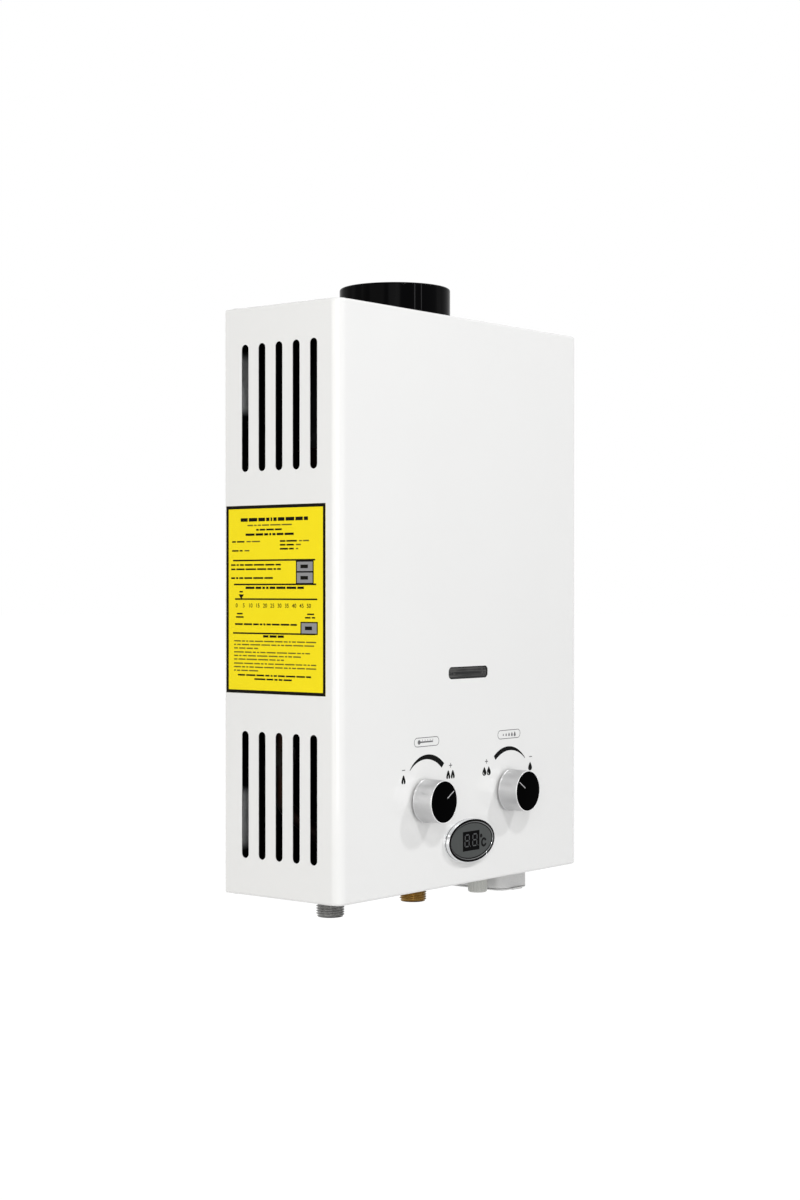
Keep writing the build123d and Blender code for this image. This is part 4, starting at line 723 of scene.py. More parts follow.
class Skin:
    """Gathers grid surfaces, in millimetres, into one mesh."""

    def __init__(self) -> None:
        """Starts with no surface."""
        self.points: list[np.ndarray] = []
        self.faces: list[np.ndarray] = []
        self.count = 0

    def add(self, points: np.ndarray, faces: np.ndarray) -> Skin:
        """Adds points and the faces between them.

        Args:
            points: points x 3.
            faces: faces x 3 or 4 point numbers from nought.

        Returns:
            This skin.
        """
        self.points.append(points)
        self.faces.append(faces + self.count)
        self.count += len(points)
        return self

    def sheet(self, grid: np.ndarray, around: bool = False, loop: bool = False) -> Skin:
        """Adds a grid of points as quads, each between neighbouring rows and columns.

        Args:
            grid: rows x columns x 3 points.
            around: whether the last column joins the first.
            loop: whether the last row joins the first.

        Returns:
            This skin.
        """
        rows, columns = grid.shape[:2]
        number = np.arange(rows * columns).reshape(rows, columns)
        if around:
            number = np.concatenate([number, number[:, :1]], axis=1)
        if loop:
            number = np.concatenate([number, number[:1]], axis=0)
        quads = np.stack([number[:-1, :-1], number[:-1, 1:], number[1:, 1:], number[1:, :-1]], axis=-1)
        return self.add(grid.reshape(-1, 3), quads.reshape(-1, 4))

    def turned(self, parts: Sequence[Any], centre: Point, way: Way, turns: int, loop: bool = False) -> Skin:
        """Adds a surface turned round an axis.

        A point lies its radius from the axis and its height along it, and column j stands at an angle of j
        parts of a full turn. From the front the angle runs clockwise from upright.

        Args:
            parts: in turn, profiles of radius and height, points x 2, or pairs of a radius and a height grid.
            centre: where the axis stands.
            way: where the height points.
            turns: columns round the axis.
            loop: whether the last row joins the first.

        Returns:
            This skin.
        """
        turn = full_turn(turns)[None]
        pairs = [part if isinstance(part, tuple) else np.split(np.asarray(part), 2, axis=1) for part in parts]
        spread = [np.stack(np.broadcast_arrays(*pair, turn)[:2]) for pair in pairs]
        radius, height = np.concatenate(spread, axis=1)
        across, along = radius * np.sin(turn), radius * np.cos(turn)
        x, y, z = centre
        if way is Way.FRONT:
            grid = join(x + across, y - height, z + along)
        else:
            sign = 1.0 if way is Way.UP else -1.0
            grid = join(x + along, y + across, z + sign * height)
        return self.sheet(grid, around=True, loop=loop)

    def mesh(self, name: str, facing: Optional[Point], crease: float) -> bpy.types.Mesh:
        """Merges the gathered surfaces into a mesh in metres.

        Args:
            name: the mesh's name.
            facing: the side that open sheets face; without it closed surfaces face outwards.
            crease: the angle in degrees past which an edge is sharp.

        Returns:
            The mesh.
        """
        mesh = bpy.data.meshes.new(name)
        points = np.concatenate(self.points) * MM
        parts = self.faces if facing is None else [towards(points, part, facing) for part in self.faces]
        mesh.from_pydata(points.tolist(), [], list(chain.from_iterable(part.tolist() for part in parts)))
        work = bmesh.new()
        work.from_mesh(mesh)
        bmesh.ops.remove_doubles(work, verts=work.verts, dist=1e-7)
        bmesh.ops.dissolve_degenerate(work, edges=work.edges, dist=1e-8)
        if facing is None:
            bmesh.ops.recalc_face_normals(work, faces=work.faces)
        return smoothed(work, mesh, crease)

    def piece(
        self,
        name: str,
        finish: Finish,
        body: str,
        slot: str,
        replaces: Sequence[str] = (),
        facing: Optional[Point] = None,
        crease: float = 35.0,
    ) -> None:
        """Makes the gathered surfaces an object; the arguments are those of mesh and dress."""
        dress(self.mesh(name, facing, crease), name, finish, body, replaces)


def towards(points: np.ndarray, faces: np.ndarray, facing: Point) -> np.ndarray:
    """Turns over the faces that look away from a side.

    A face's normal is the cross product of its third corner less its first and its last less its second.

    Args:
        points: points x 3.
        faces: faces x 3 or 4 point numbers.
        facing: the side.

    Returns:
        The faces, all towards the side.
    """
    corner = points[faces]
    normal = np.cross(corner[:, 2] - corner[:, 0], corner[:, -1] - corner[:, 1])
    away = normal @ np.asarray(facing) < 0.0
    return np.where(away[:, None], faces[:, ::-1], faces)


def smoothed(work: bmesh.types.BMesh, mesh: bpy.types.Mesh, crease: float) -> bpy.types.Mesh:
    """Writes a work mesh out, smooth up to a crease.

    Args:
        work: what is written and freed.
        mesh: the mesh that takes it.
        crease: the angle in degrees past which an edge is sharp.

    Returns:
        The mesh.
    """
    work.to_mesh(mesh)
    work.free()
    mesh.shade_smooth()
    mesh.set_sharp_from_angle(angle=math.radians(crease))
    return mesh


def stand(name: str, data: bpy.types.ID) -> bpy.types.Object:
    """Puts a new object in the scene.

    Args:
        name: the object's name.
        data: its mesh, curve, light or camera.

    Returns:
        The object.
    """
    made = bpy.data.objects.new(name, data)
    bpy.context.scene.collection.objects.link(made)
    return made


def dress(
    mesh: bpy.types.Mesh, name: str, finish: Finish, body: str, replaces: Sequence[str]
) -> bpy.types.Object:
    """Puts a mesh in the scene with its finish, body and the nodes it stands for.

    Args:
        mesh: the mesh, placed in the frame.
        name: the object's name.
        finish: its finish.
        body: the body it moves with.
        replaces: the nodes it stands for.

    Returns:
        The object.
    """
    mesh.materials.clear()
    mesh.materials.append(finish.material())
    made = stand(name, mesh)
    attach(made, body)
    if replaces:
        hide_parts(*replaces)
    LOG.info("%s: %d faces", name, len(mesh.polygons))
    return made


@dataclass(frozen=True)
class CadSkin:
    """A smooth copy that stands in for a CAD node, its triangles merged and its flat faces kept flat."""

    node: str
    name: str
    finish: Finish
    body: str
    slot: str
    crease: float
    weight: int

    def build(self, frame: dict[str, Any]) -> None:
        """Makes the copy.

        Args:
            frame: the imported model.
        """
        work = bmesh.new()
        work.from_mesh(frame["nodes"][self.node].data)
        bmesh.ops.remove_doubles(work, verts=work.verts, dist=1e-6)
        mesh = smoothed(work, bpy.data.meshes.new(f"{self.node}_skin"), self.crease)
        made = dress(mesh, self.name, self.finish, self.body, [self.node])
        normals = made.modifiers.new("flat_faces", "WEIGHTED_NORMAL")
        normals.keep_sharp = True
        normals.weight = self.weight


def profile(corners: Corners, steps: int = 6) -> np.ndarray:
    """A polyline with rounded corners.

    Each corner C between A and B, the points one rounding back along its two sides, becomes the curve
    (1-t)^2 A + 2t(1-t) C + t^2 B.

    Args:
        corners: the corners in turn, each with how far it is cut back; nought keeps it sharp.
        steps: points to each rounded corner.

    Returns:
        Points x 2.
    """
    rows = np.asarray(corners, dtype=float)
    spots = rows[:, :2]
    parts = [spots[:1]]
    share = np.linspace(0.0, 1.0, steps)[:, None]
    for before, corner, after, cut in zip(spots[:-2], spots[1:-1], spots[2:], rows[1:-1, 2]):
        if cut <= 0.0:
            parts.append(corner[None, :])
            continue
        back = corner + (before - corner) * min(0.5, cut / np.linalg.norm(before - corner))
        on = corner + (after - corner) * min(0.5, cut / np.linalg.norm(after - corner))
        parts.append((1 - share) ** 2 * back + 2 * share * (1 - share) * corner + share**2 * on)
    parts.append(spots[-1:])
    return np.concatenate(parts)


def hexagon(
    apothem: float, cone: Sequence[Spot], height: float, turns: int
) -> tuple[np.ndarray, np.ndarray]:
    """A standing hexagon whose corners a cone cuts at both ends.

    Its radius is the lesser of the cone's and its flat's, the apothem over the cosine of the angle from it.

    Args:
        apothem: from the axis to a flat.
        cone: radius and height of the cone's steps from an end inwards.
        height: from end to end.
        turns: columns round the axis.

    Returns:
        Radii, rows x columns, and a column of heights.
    """
    from_flat = (full_turn(turns) + math.pi / 6) % (math.pi / 3) - math.pi / 6
    limit, level = np.split(np.asarray(cone), 2, axis=1)
    radius = np.minimum(apothem / np.cos(from_flat), np.concatenate([limit, limit[::-1]]))
    return radius, np.concatenate([level, height - level[::-1]])


def between(one: np.ndarray, other: np.ndarray, depth: float, rows: int = 2) -> np.ndarray:
    """A flat band on the front: rows blend from one x-z curve to another at one depth.

    Args:
        one: points x 2 of the first edge.
        other: the same number of points of the other edge.
        depth: the band's y.
        rows: rows across the band.

    Returns:
        Rows x points x 3.
    """
    share = np.linspace(0.0, 1.0, rows)[:, None, None]
    flat = one[None] * (1 - share) + other[None] * share
    return join(flat[..., 0], depth, flat[..., 1])


def stadium(width: float, height: float, steps: int = 16) -> np.ndarray:
    """A closed outline with half-round ends: two half circles joined by straight sides.

    Args:
        width: from end to end.
        height: across the straight sides.
        steps: points to each half circle.

    Returns:
        Points x 2.
    """
    turn = np.linspace(-math.pi / 2, math.pi / 2, steps)
    reach, radius = width / 2 - height / 2, height / 2
    right = join(reach + radius * np.cos(turn), radius * np.sin(turn))
    return np.concatenate([right, -right, right[:1]])


def flat_ring(place: Spot, outer: float, inner: float, depth: float) -> np.ndarray:
    """A flat ring on the front, between two circles about a place."""
    round_it = circle(np.linspace(0.0, 2.0 * math.pi, 40))
    return between(round_it * outer + place, round_it * inner + place, depth)


# Sub-assemblies


@dataclass
class Case:
    """The folded cover, the wall pan, the deck and their screws."""

    frame: dict[str, Any]
    half_height: float = 215.0
    screw_side: float = 142.0
    screw_back: float = 4.6
    head_radius: float = 3.6
    head_height: float = 1.2
    head_edge: float = 0.55
    dome: float = 0.86
    recess: float = 0.8
    arm_half: float = 0.55
    arm_reach: float = 2.0
    shank_radius: float = 1.9
    shank_length: float = 7.0
    turns: int = 96
    sheets: tuple[CadSkin, ...] = (
        CadSkin("front_cover", "cover_skin", WHITE, BODY, "white_enamel", 30.0, 100),
        CadSkin("back_plate", "wall_pan_skin", PAN, BODY, "galvanised_steel", 30.0, 100),
        CadSkin("bottom_plate", "deck_skin", GALVANISED, BODY, "galvanised_steel", 30.0, 100),
    )

    def build(self) -> None:
        """Makes the smooth skins of the sheets and the screws."""
        for sheet in self.sheets:
            sheet.build(self.frame)
        self.screws()

    def screws(self) -> None:
        """Pan heads with a cross recess.

        The head's height over its seat is a dome, height times the root of 1 - (dome r / R)^2, less a recess
        that is deepest where the point lies within an arm's half width of either cross line.
        """
        turn = full_turn(self.turns)[None]
        share = np.linspace(0.0, 1.0, 22)[:, None]
        radius = share * self.head_radius * np.ones_like(turn)
        dome = self.head_height * np.sqrt(1.0 - (self.dome * share) ** 2)
        arm = np.minimum(np.abs(np.sin(turn)), np.abs(np.cos(turn))) * radius
        recess = fade(self.arm_half - arm, 0.2) * fade(self.arm_reach - radius, 0.3)
        shank = [
            (self.head_radius, self.head_edge),
            (self.head_radius, 0.0),
            (self.shank_radius, 0.0),
            (self.shank_radius, -self.shank_length),
            (0.0, -self.shank_length),
        ]
        parts = [(radius, dome - self.recess * recess), shank]
        skin = Skin()
        for x in (-self.screw_side, self.screw_side):
            skin.turned(parts, (x, -self.screw_back, self.half_height), Way.UP, self.turns)
            skin.turned(parts, (x, -self.screw_back, -self.half_height), Way.DOWN, self.turns)
        skin.piece("cover_screw_heads", STEEL, BODY, "zinc_steel", ["cover_screws"], crease=40.0)


@dataclass
class Label:
    """The yellow sticker on the left side, with rules, boxes, a plain scale and greeked lines.

    A place on it is u, from its back edge to its front edge, and v, from its top down. Rules are rows of u
    from, u to and v, and lines have their height in millimetres too. Boxes are rows of u from, u to, v from
    and v to.
    """

    side: float = -150.0
    back: float = -1.0
    front: float = -97.8
    low: float = -67.0
    high: float = 70.0
    lift: float = 0.12
    print_lift: float = 0.16
    box_lift: float = 0.19
    box_print_lift: float = 0.22
    border: float = 2.4
    rule_half: float = 0.0042
    rim_u: float = 0.010
    rim_v: float = 0.0065
    box_margin: float = 0.035
    box_height: float = 2.6
    word: float = 0.072
    gap: float = 0.011
    pointer_u: Point = (0.127, 0.155, 0.183)
    pointer_v: Spot = (0.473, 0.498)
    scale_from: float = 0.108
    scale_to: float = 0.838
    scale_v: float = 0.532
    scale_size: float = 4.1
    bold: float = 0.014
    rules: Corners = (
        (0.07, 0.90, 0.292), (0.08, 0.91, 0.420), (0.09, 0.92, 0.498),
        (0.07, 0.90, 0.680),
    )
    lines: tuple[Row, ...] = (
        (0.15, 0.84, 0.076, 2.6), (0.31, 0.58, 0.130, 1.3), (0.20, 0.70, 0.155, 1.7),
        (0.06, 0.20, 0.192, 1.1), (0.06, 0.18, 0.240, 1.1), (0.55, 0.73, 0.192, 1.2),
        (0.55, 0.70, 0.212, 1.2), (0.55, 0.70, 0.233, 1.2), (0.05, 0.57, 0.316, 1.2),
        (0.05, 0.57, 0.339, 1.2), (0.05, 0.49, 0.386, 1.3), (0.20, 0.80, 0.438, 1.7),
        (0.137, 0.184, 0.459, 1.1), (0.11, 0.18, 0.576, 1.1), (0.10, 0.19, 0.594, 1.1),
        (0.82, 0.90, 0.576, 1.1), (0.80, 0.91, 0.594, 1.1), (0.09, 0.73, 0.632, 1.3),
        (0.38, 0.60, 0.695, 1.7), (0.12, 0.87, 0.903, 1.2), (0.29, 0.68, 0.923, 1.2),
    )
    faint: tuple[Row, ...] = (
        (0.22, 0.68, 0.106, 1.0), (0.21, 0.36, 0.192, 1.0), (0.19, 0.25, 0.240, 1.0),
        (0.74, 0.85, 0.192, 1.0), (0.71, 0.77, 0.212, 1.0), (0.71, 0.74, 0.233, 1.0),
        (0.08, 0.92, 0.722, 0.95), (0.08, 0.90, 0.741, 0.95), (0.08, 0.34, 0.760, 0.95),
        (0.08, 0.86, 0.781, 0.95), (0.08, 0.77, 0.800, 0.95), (0.08, 0.60, 0.819, 0.95),
        (0.08, 0.92, 0.841, 0.95), (0.08, 0.92, 0.860, 0.95), (0.08, 0.34, 0.879, 0.95),
    )
    boxes: tuple[Row, ...] = (
        (0.72, 0.875, 0.302, 0.351), (0.72, 0.875, 0.359, 0.413), (0.765, 0.915, 0.622, 0.676),
    )

    def spot(self, u: Any, v: Any, lift: float) -> np.ndarray:
        """Points at u and v, lifted off the side."""
        y, z = self.back + (self.front - self.back) * u, self.high + (self.low - self.high) * v
        return join(self.side - lift, y, z)

    def patches(self, skin: Skin, areas: np.ndarray, lift: float) -> Skin:
        """Adds one flat rectangle for each row of u from, u to, v from, v to."""
        corners = self.spot(areas[:, [0, 1, 1, 0]], areas[:, [2, 2, 3, 3]], lift)
        return skin.add(corners.reshape(-1, 3), np.arange(4 * len(areas)).reshape(-1, 4))

    def words(self, lines: Sequence[Row]) -> np.ndarray:
        """Breaks lines into word-like dashes whose lengths follow a fixed sine pattern.

        Args:
            lines: rows of u from, u to, v and the dashes' height in millimetres.

        Returns:
            Dashes x u from, u to, v from, v to.
        """
        rows = []
        for u0, u1, v, height in lines:
            count = max(1, round((u1 - u0) / self.word))
            weight = 1.0 + 0.55 * np.sin(7.3 * np.arange(count) + 91.0 * v)
            edge = u0 + (u1 - u0) * np.concatenate([[0.0], np.cumsum(weight) / weight.sum()])
            half = height / 2 / (self.high - self.low)
            gap = min(self.gap, 0.3 * (u1 - u0) / count)
            rows.append(join(edge[:-1], edge[1:] - gap, v - half, v + half))
        return np.concatenate(rows)

    def lay(self, skin: Skin, name: str, finish: Finish) -> None:
        """Makes a skin a piece that faces left."""
        skin.piece(name, finish, BODY, "white_enamel", facing=(-1.0, 0.0, 0.0))

    def build(self) -> None:
        """Makes the sheet with its edges, the print in two inks, the boxes and the scale."""
        run = np.linspace(0.0, 1.0, 25)
        one, none = np.ones_like(run), np.zeros_like(run)
        edge_u, edge_v = np.concatenate([run, one, 1 - run, none]), np.concatenate([none, run, one, 1 - run])
        wall = np.stack([self.spot(edge_u, edge_v, lift) for lift in (self.lift, 0.0)])
        sheet = Skin().sheet(self.spot(*np.meshgrid(run, run), self.lift)).sheet(wall)
        self.lay(sheet, "side_label_sheet", LABEL_YELLOW)
        wide, tall = self.border / (self.back - self.front), self.border / (self.high - self.low)
        frame = [(0, 1, 0, tall), (0, 1, 1 - tall, 1)]
        frame += [(0, wide, tall, 1 - tall), (1 - wide, 1, tall, 1 - tall)]
        rules = [(u0, u1, v - self.rule_half, v + self.rule_half) for u0, u1, v in self.rules]
        boxes = np.array(self.boxes)
        rims = boxes + [-self.rim_u, self.rim_u, -self.rim_v, self.rim_v]
        areas = np.concatenate([frame, rules, self.words(self.lines), rims])
        ink = self.patches(Skin(), areas, self.print_lift)
        narrowing = np.array([self.pointer_u, [self.pointer_u[1]] * 3])
        ink.sheet(self.spot(narrowing, column(*self.pointer_v), self.print_lift))
        margin = self.box_margin
        inner = [(u0 + margin, u1 - margin, (v0 + v1) / 2, self.box_height) for u0, u1, v0, v1 in self.boxes]
        self.patches(ink, self.words(inner), self.box_print_lift)
        self.lay(ink, "side_label_print", LABEL_INK)
        faint = self.patches(Skin(), self.words(self.faint), self.print_lift)
        self.lay(faint, "side_label_small_print", LABEL_FAINT)
        self.lay(self.patches(Skin(), boxes, self.box_lift), "side_label_boxes", LABEL_GREY)
        self.scale()

    def scale(self) -> None:
        """Numbers from 0 to 50 in steps of five along the scale, as flat letters laid on the sticker."""
        skin = Skin()
        for number, u in zip(range(0, 55, 5), np.linspace(self.scale_from, self.scale_to, 11)):
            points, faces = self.letters(str(number))
            flat = (points - (points.min(axis=0) + points.max(axis=0)) / 2) * self.scale_size
            place = self.spot(u, self.scale_v, self.print_lift)
            skin.add(place + join(0.0, -flat[:, 0], flat[:, 1]), faces)
        self.lay(skin, "side_label_scale", LABEL_INK)

    def letters(self, text: str) -> tuple[np.ndarray, np.ndarray]:
        """The filled outline of a few letters one unit tall.

        Args:
            text: what they say.

        Returns:
            Points x 3 and triangles.
        """
        curve = bpy.data.curves.new("letters", "FONT")
        curve.body = text
        curve.size = 1.0
        curve.offset = self.bold
        holder = stand("letters", curve)
        bpy.context.view_layer.update()
        mesh = holder.to_mesh()
        mesh.calc_loop_triangles()
        points = np.empty((len(mesh.vertices), 3), dtype=np.float32)
        faces = np.empty((len(mesh.loop_triangles), 3), dtype=np.int32)
        mesh.vertices.foreach_get("co", points.ravel())
        mesh.loop_triangles.foreach_get("vertices", faces.ravel())
        holder.to_mesh_clear()
        bpy.data.objects.remove(holder)
        bpy.data.curves.remove(curve)
        return points, faces


@dataclass
class Flue:
    """The collar on top of the case."""

    x: float = -18.5
    y: float = -54.0
    foot: float = 206.0
    top: float = 239.5
    radius: float = 42.6
    wall: float = 1.2
    bead: float = 1.5
    roll: float = 1.22 * math.pi
    mouth: float = 2.6
    stop: float = 11.0
    stop_out: float = 1.0
    stop_slope: float = 0.4
    flange: float = 0.8
    flange_out: float = 3.0
    turns: int = 360
    seam: float = 243.0
    seam_half: float = 4.2
    seam_edge: float = 1.6
    seam_rise: float = 0.3

    def build(self) -> None:
        """Turns the collar: inner wall, rolled rim, outer wall, stop ring and foot, as one closed profile.

        The sheet laps itself along a seam: within the seam's half width the outer wall's radius grows by the
        seam's rise, which fades over the seam's edge.
        """
        inner, outer, rim = self.radius - self.wall, self.radius, self.top - self.foot
        up = np.array([(inner, 0.0), (inner, rim * 0.5), (inner, rim - self.mouth)])
        roll = np.linspace(self.roll, 0.0, 15)
        bead = np.array([outer, rim]) + self.bead * (join(np.cos(roll), np.sin(roll)) - 1.0)
        down = profile(
            [
                (outer, rim - self.bead - 0.2, 0.0),
                (outer, self.stop, 0.3),
                (outer + self.stop_out, self.stop - self.stop_slope, 0.3),
                (outer + self.stop_out, self.flange, 0.6),
                (outer + self.flange_out, self.flange, 0.25),
                (outer + self.flange_out, 0.0, 0.25),
                (inner, 0.0, 0.0),
            ]
        )
        line = np.concatenate([up, bead, down])
        lap = fade(self.seam_half - np.abs(np.degrees(full_turn(self.turns)) - self.seam), self.seam_edge)
        wall = np.isclose(line[:, :1], outer) & (line[:, 1:] > 1.0)
        radius = line[:, :1] + self.seam_rise * wall * lap[None]
        skin = Skin().turned([(radius, line[:, 1:])], (self.x, self.y, self.foot), Way.UP, self.turns)
        skin.piece("flue_collar_turned", COLLAR_BLACK, BODY, "black_enamel", ["flue_collar"])


@dataclass
class Knob:
    """One control knob: body, bright rim, face and pointer."""

    name: str
    body: str
    x: float
    pointer: float
    z: float = -147.5
    back: float = -111.8
    radius: float = 16.2
    height: float = 17.2
    taper: float = 1.6
    face_radius: float = 15.2
    face: float = 1.6
    face_gap: float = 0.06
    hollow: float = 11.0
    hollow_radii: Spot = (13.9, 14.2)
    shaft: float = 3.05
    hub: float = 5.5
    edge: float = 0.35
    groove: float = 0.22
    groove_levels: Row = (1.1, 1.25, 1.55, 1.7)
    shoulder: float = 0.7
    joint_in: float = 0.06
    joint_below: float = 0.4
    line_size: Spot = (9.4, 0.62)
    line_middle: float = 9.2
    line_ridge: float = 4.3
    line_sunk: float = 0.02
    turns: int = 160

    def build(self) -> None:
        """Turns the body with its hub and hollow, the rim and the face disc, and adds the pointer."""
        slope = math.tan(math.radians(self.taper))
        tip = self.radius - self.height * slope
        seat = self.height - self.face
        joint = (tip - self.joint_in, self.height - self.joint_below, 0.0)
        low, cut, end, high = self.groove_levels
        skirt = [
            (0.0, self.hollow, 0.0),
            (self.shaft, self.hollow, 0.0),
            (self.shaft, 0.0, 0.0),
            (self.hub, 0.0, 0.3),
            (self.hub, self.hollow, 0.0),
            (self.hollow_radii[0], self.hollow, 0.0),
            (self.hollow_radii[1], 0.0, 0.2),
            (self.radius - self.edge, 0.0, 0.2),
            (self.radius, self.edge, 0.2),
            (self.radius - low * slope, low, 0.1),
            (self.radius - cut * slope - self.groove, cut, 0.05),
            (self.radius - end * slope - self.groove, end, 0.05),
            (self.radius - high * slope, high, 0.1),
            (tip + self.shoulder * slope, self.height - self.shoulder, 0.3),
            joint,
        ]
        ring = [
            joint,
            (tip + 0.02, self.height - self.joint_below / 2, 0.18),
            (tip - 0.08, self.height, 0.2),
            (self.face_radius + self.face_gap, self.height, 0.06),
            (self.face_radius + self.face_gap, seat, 0.0),
            (0.0, seat, 0.0),
        ]
        disc = [
            (0.0, seat, 0.0),
            (self.face_radius, seat, 0.1),
            (self.face_radius, self.height, 0.45),
            (0.0, self.height - 0.02, 0.0),
        ]
        for corners, part, finish, slot, replaced in (
            (skirt, "body", SILVER, "silver_plastic", [self.name]),
            (ring, "rim", RIM_SILVER, "silver_plastic", []),
            (disc, "face", FACE_BLACK, "black_face", [f"{self.name}_cap"]),
        ):
            skin = Skin().turned([profile(corners)], (self.x, self.back, self.z), Way.FRONT, self.turns)
            skin.piece(f"{self.name}_{part}", finish, self.body, slot, replaced)
        self.line()

    def line(self) -> None:
        """The pointer: a bar with half-round ends, domed across, from near the centre to the face's edge."""
        outline = stadium(*self.line_size)
        share = column(1.0, 0.96, 0.8, 0.45, 0.0)[..., None]
        middle = join(np.clip(outline[:, 0], -self.line_ridge, self.line_ridge), 0.0)
        flat = middle + (outline - middle) * share
        rise = column(0.0, 0.06, 0.1, 0.12, 0.12)
        angle = math.radians(self.pointer)
        reach, across = flat[..., 0] + self.line_middle, flat[..., 1]
        x = self.x + reach * math.sin(angle) + across * math.cos(angle)
        z = self.z + reach * math.cos(angle) - across * math.sin(angle)
        bar = Skin().sheet(join(x, self.back - self.height - rise + self.line_sunk, z))
        bar.piece(f"{self.name}_pointer", POINTER, self.body, "black_face", facing=FORWARD)


@dataclass
class PanelPrint:
    """The marks printed round the two knobs.

    A sweep's outer and inner edges are rows of a radius, its growth, a start angle and a swing in degrees.
    """

    plane: float = -110.05
    knob_x: float = 53.1
    knob_z: float = -147.5
    left_sweep: tuple[Row, Row] = ((28.9, 6.6, -36.0, 79.0), (28.4, 2.7, -36.4, 79.4))
    left_ease: float = 1.95
    right_sweep: tuple[Row, Row] = ((33.3, -0.8, -35.0, 78.5), (29.4, 2.7, -35.0, 78.9))
    right_bulge: float = 0.9
    flames: tuple[float, ...] = (-77.4, -23.8, -18.2)
    flame_z: float = -130.4
    flame_size: Spot = (4.2, 6.4)
    drops: tuple[float, ...] = (21.7, 27.4, 82.4)
    drop_z: float = -131.0
    drop_size: Spot = (4.9, 7.0)
    gleam_z: float = -132.2
    gleam_reach: float = 1.45
    signs: tuple[float, ...] = (-77.3, -20.9, 24.5, 83.1)
    sign_z: float = -123.6
    sign_size: Spot = (3.6, 0.7)
    pills: tuple[float, ...] = (-50.0, 54.0)
    pill_z: float = -104.2
    pill_size: Spot = (30.0, 7.0)
    pill_line: float = 0.5
    bulb_x: float = -59.0
    bulb_radius: float = 1.7
    stem_x: float = -50.2
    stem_size: Spot = (15.6, 1.1)
    tick_x: float = -55.0
    tick_step: float = 3.1
    tick_z: float = -102.9
    tick_size: Spot = (0.45, 1.1)
    row_x: float = 46.4
    row_step: float = 3.8
    row_z: float = -104.3
    row_sizes: tuple[float, ...] = (2.0, 2.5, 3.0, 3.5, 4.0)
    row_slim: float = 0.62

    def curve(self, side: float, radius: np.ndarray, angle: np.ndarray) -> np.ndarray:
        """Points at a radius and a clockwise angle in degrees round the knob on a side."""
        return circle(np.radians(angle)) * radius[:, None] + [side * self.knob_x, self.knob_z]

    def sweeps(self, skin: Skin) -> None:
        """The two arcs, each between an outer and an inner spiral, thin at one end and thick at the other.

        Args:
            skin: the skin that takes them.
        """
        s = np.linspace(0.0, 1.0, 60)
        eased = 1.0 - (1.0 - s) ** self.left_ease
        bulge = self.right_bulge * np.sin(math.pi * s)
        for side, rows, growth, swell in (
            (-1.0, self.left_sweep, eased, (0.0, 0.0)),
            (1.0, self.right_sweep, s, (bulge, 0.0)),
        ):
            edges = [
                self.curve(side, radius + grown * growth + more, start + swing * s)
                for (radius, grown, start, swing), more in zip(rows, swell)
            ]
            skin.sheet(between(*edges, self.plane, 4))

    def flame(self, skin: Skin, x: float) -> None:
        """A pointed flame with a notch at its foot: two mirrored bands between an outer and an inner width.

        Args:
            skin: the skin that takes it.
            x: its middle.
        """
        width, height = self.flame_size
        h = np.linspace(0.0, 1.0, 28)
        outer = 0.5 * width * 1.4 * (1.0 - h) ** 0.62 * np.clip(0.62 + 1.5 * h, 0.0, 1.0) ** 0.9
        inner = 0.5 * width * 0.24 * np.clip(1.0 - h / 0.42, 0.0, 1.0) ** 0.6
        rise = self.flame_z + (h - 0.5) * height
        for side in (-1.0, 1.0):
            far, near = join(x + side * outer, rise), join(x + side * np.minimum(inner, outer), rise)
            skin.sheet(between(far, near, self.plane, 3))

    def drop(self, skin: Skin, x: float, z: float, size: Spot) -> None:
        """A water drop: half width sin t times sin(t/2)^1.3 at height cos t, with t from tip to foot.

        Args:
            skin: the skin that takes it.
            x: its middle.
            z: its middle.
            size: its width and height.
        """
        t = np.linspace(0.0, math.pi, 32)
        half = 0.5 * size[0] * 1.42 * np.sin(t) * np.sin(t / 2) ** 1.3
        rise = z + 0.5 * size[1] * np.cos(t)
        skin.sheet(between(join(x - half, rise), join(x + half, rise), self.plane, 5))

    def gleam(self, skin: Skin, x: float) -> None:
        """A crescent low on a drop's left: between a circle's arc and a flatter arc through its ends.

        Args:
            skin: the skin that takes it.
            x: the circle's middle.
        """
        arc = self.gleam_reach * circle(np.radians(np.linspace(165.0, 300.0, 24)))
        bulge = 0.45 * np.sin(np.linspace(0.0, math.pi, 24))[:, None]
        place = [x, self.gleam_z]
        skin.sheet(between(arc + place, (1.0 - bulge) * arc + place, self.plane - 0.02))

    def bar(self, skin: Skin, x: float, z: float, size: Spot) -> None:
        """A plain flat bar of a width and a height about a place."""
        rise = z + np.array([-0.5, 0.5]) * size[1]
        skin.sheet(between(join(x - size[0] / 2, rise), join(x + size[0] / 2, rise), self.plane))

    def pill(self, skin: Skin, x: float) -> None:
        """A thin outline with half-round ends, between two stadiums.

        Args:
            skin: the skin that takes it.
            x: its middle.
        """
        width, height = self.pill_size
        thin = 2 * self.pill_line
        place = [x, self.pill_z]
        inner = stadium(width - thin, height - thin, 20)
        skin.sheet(between(stadium(width, height, 20) + place, inner + place, self.plane))

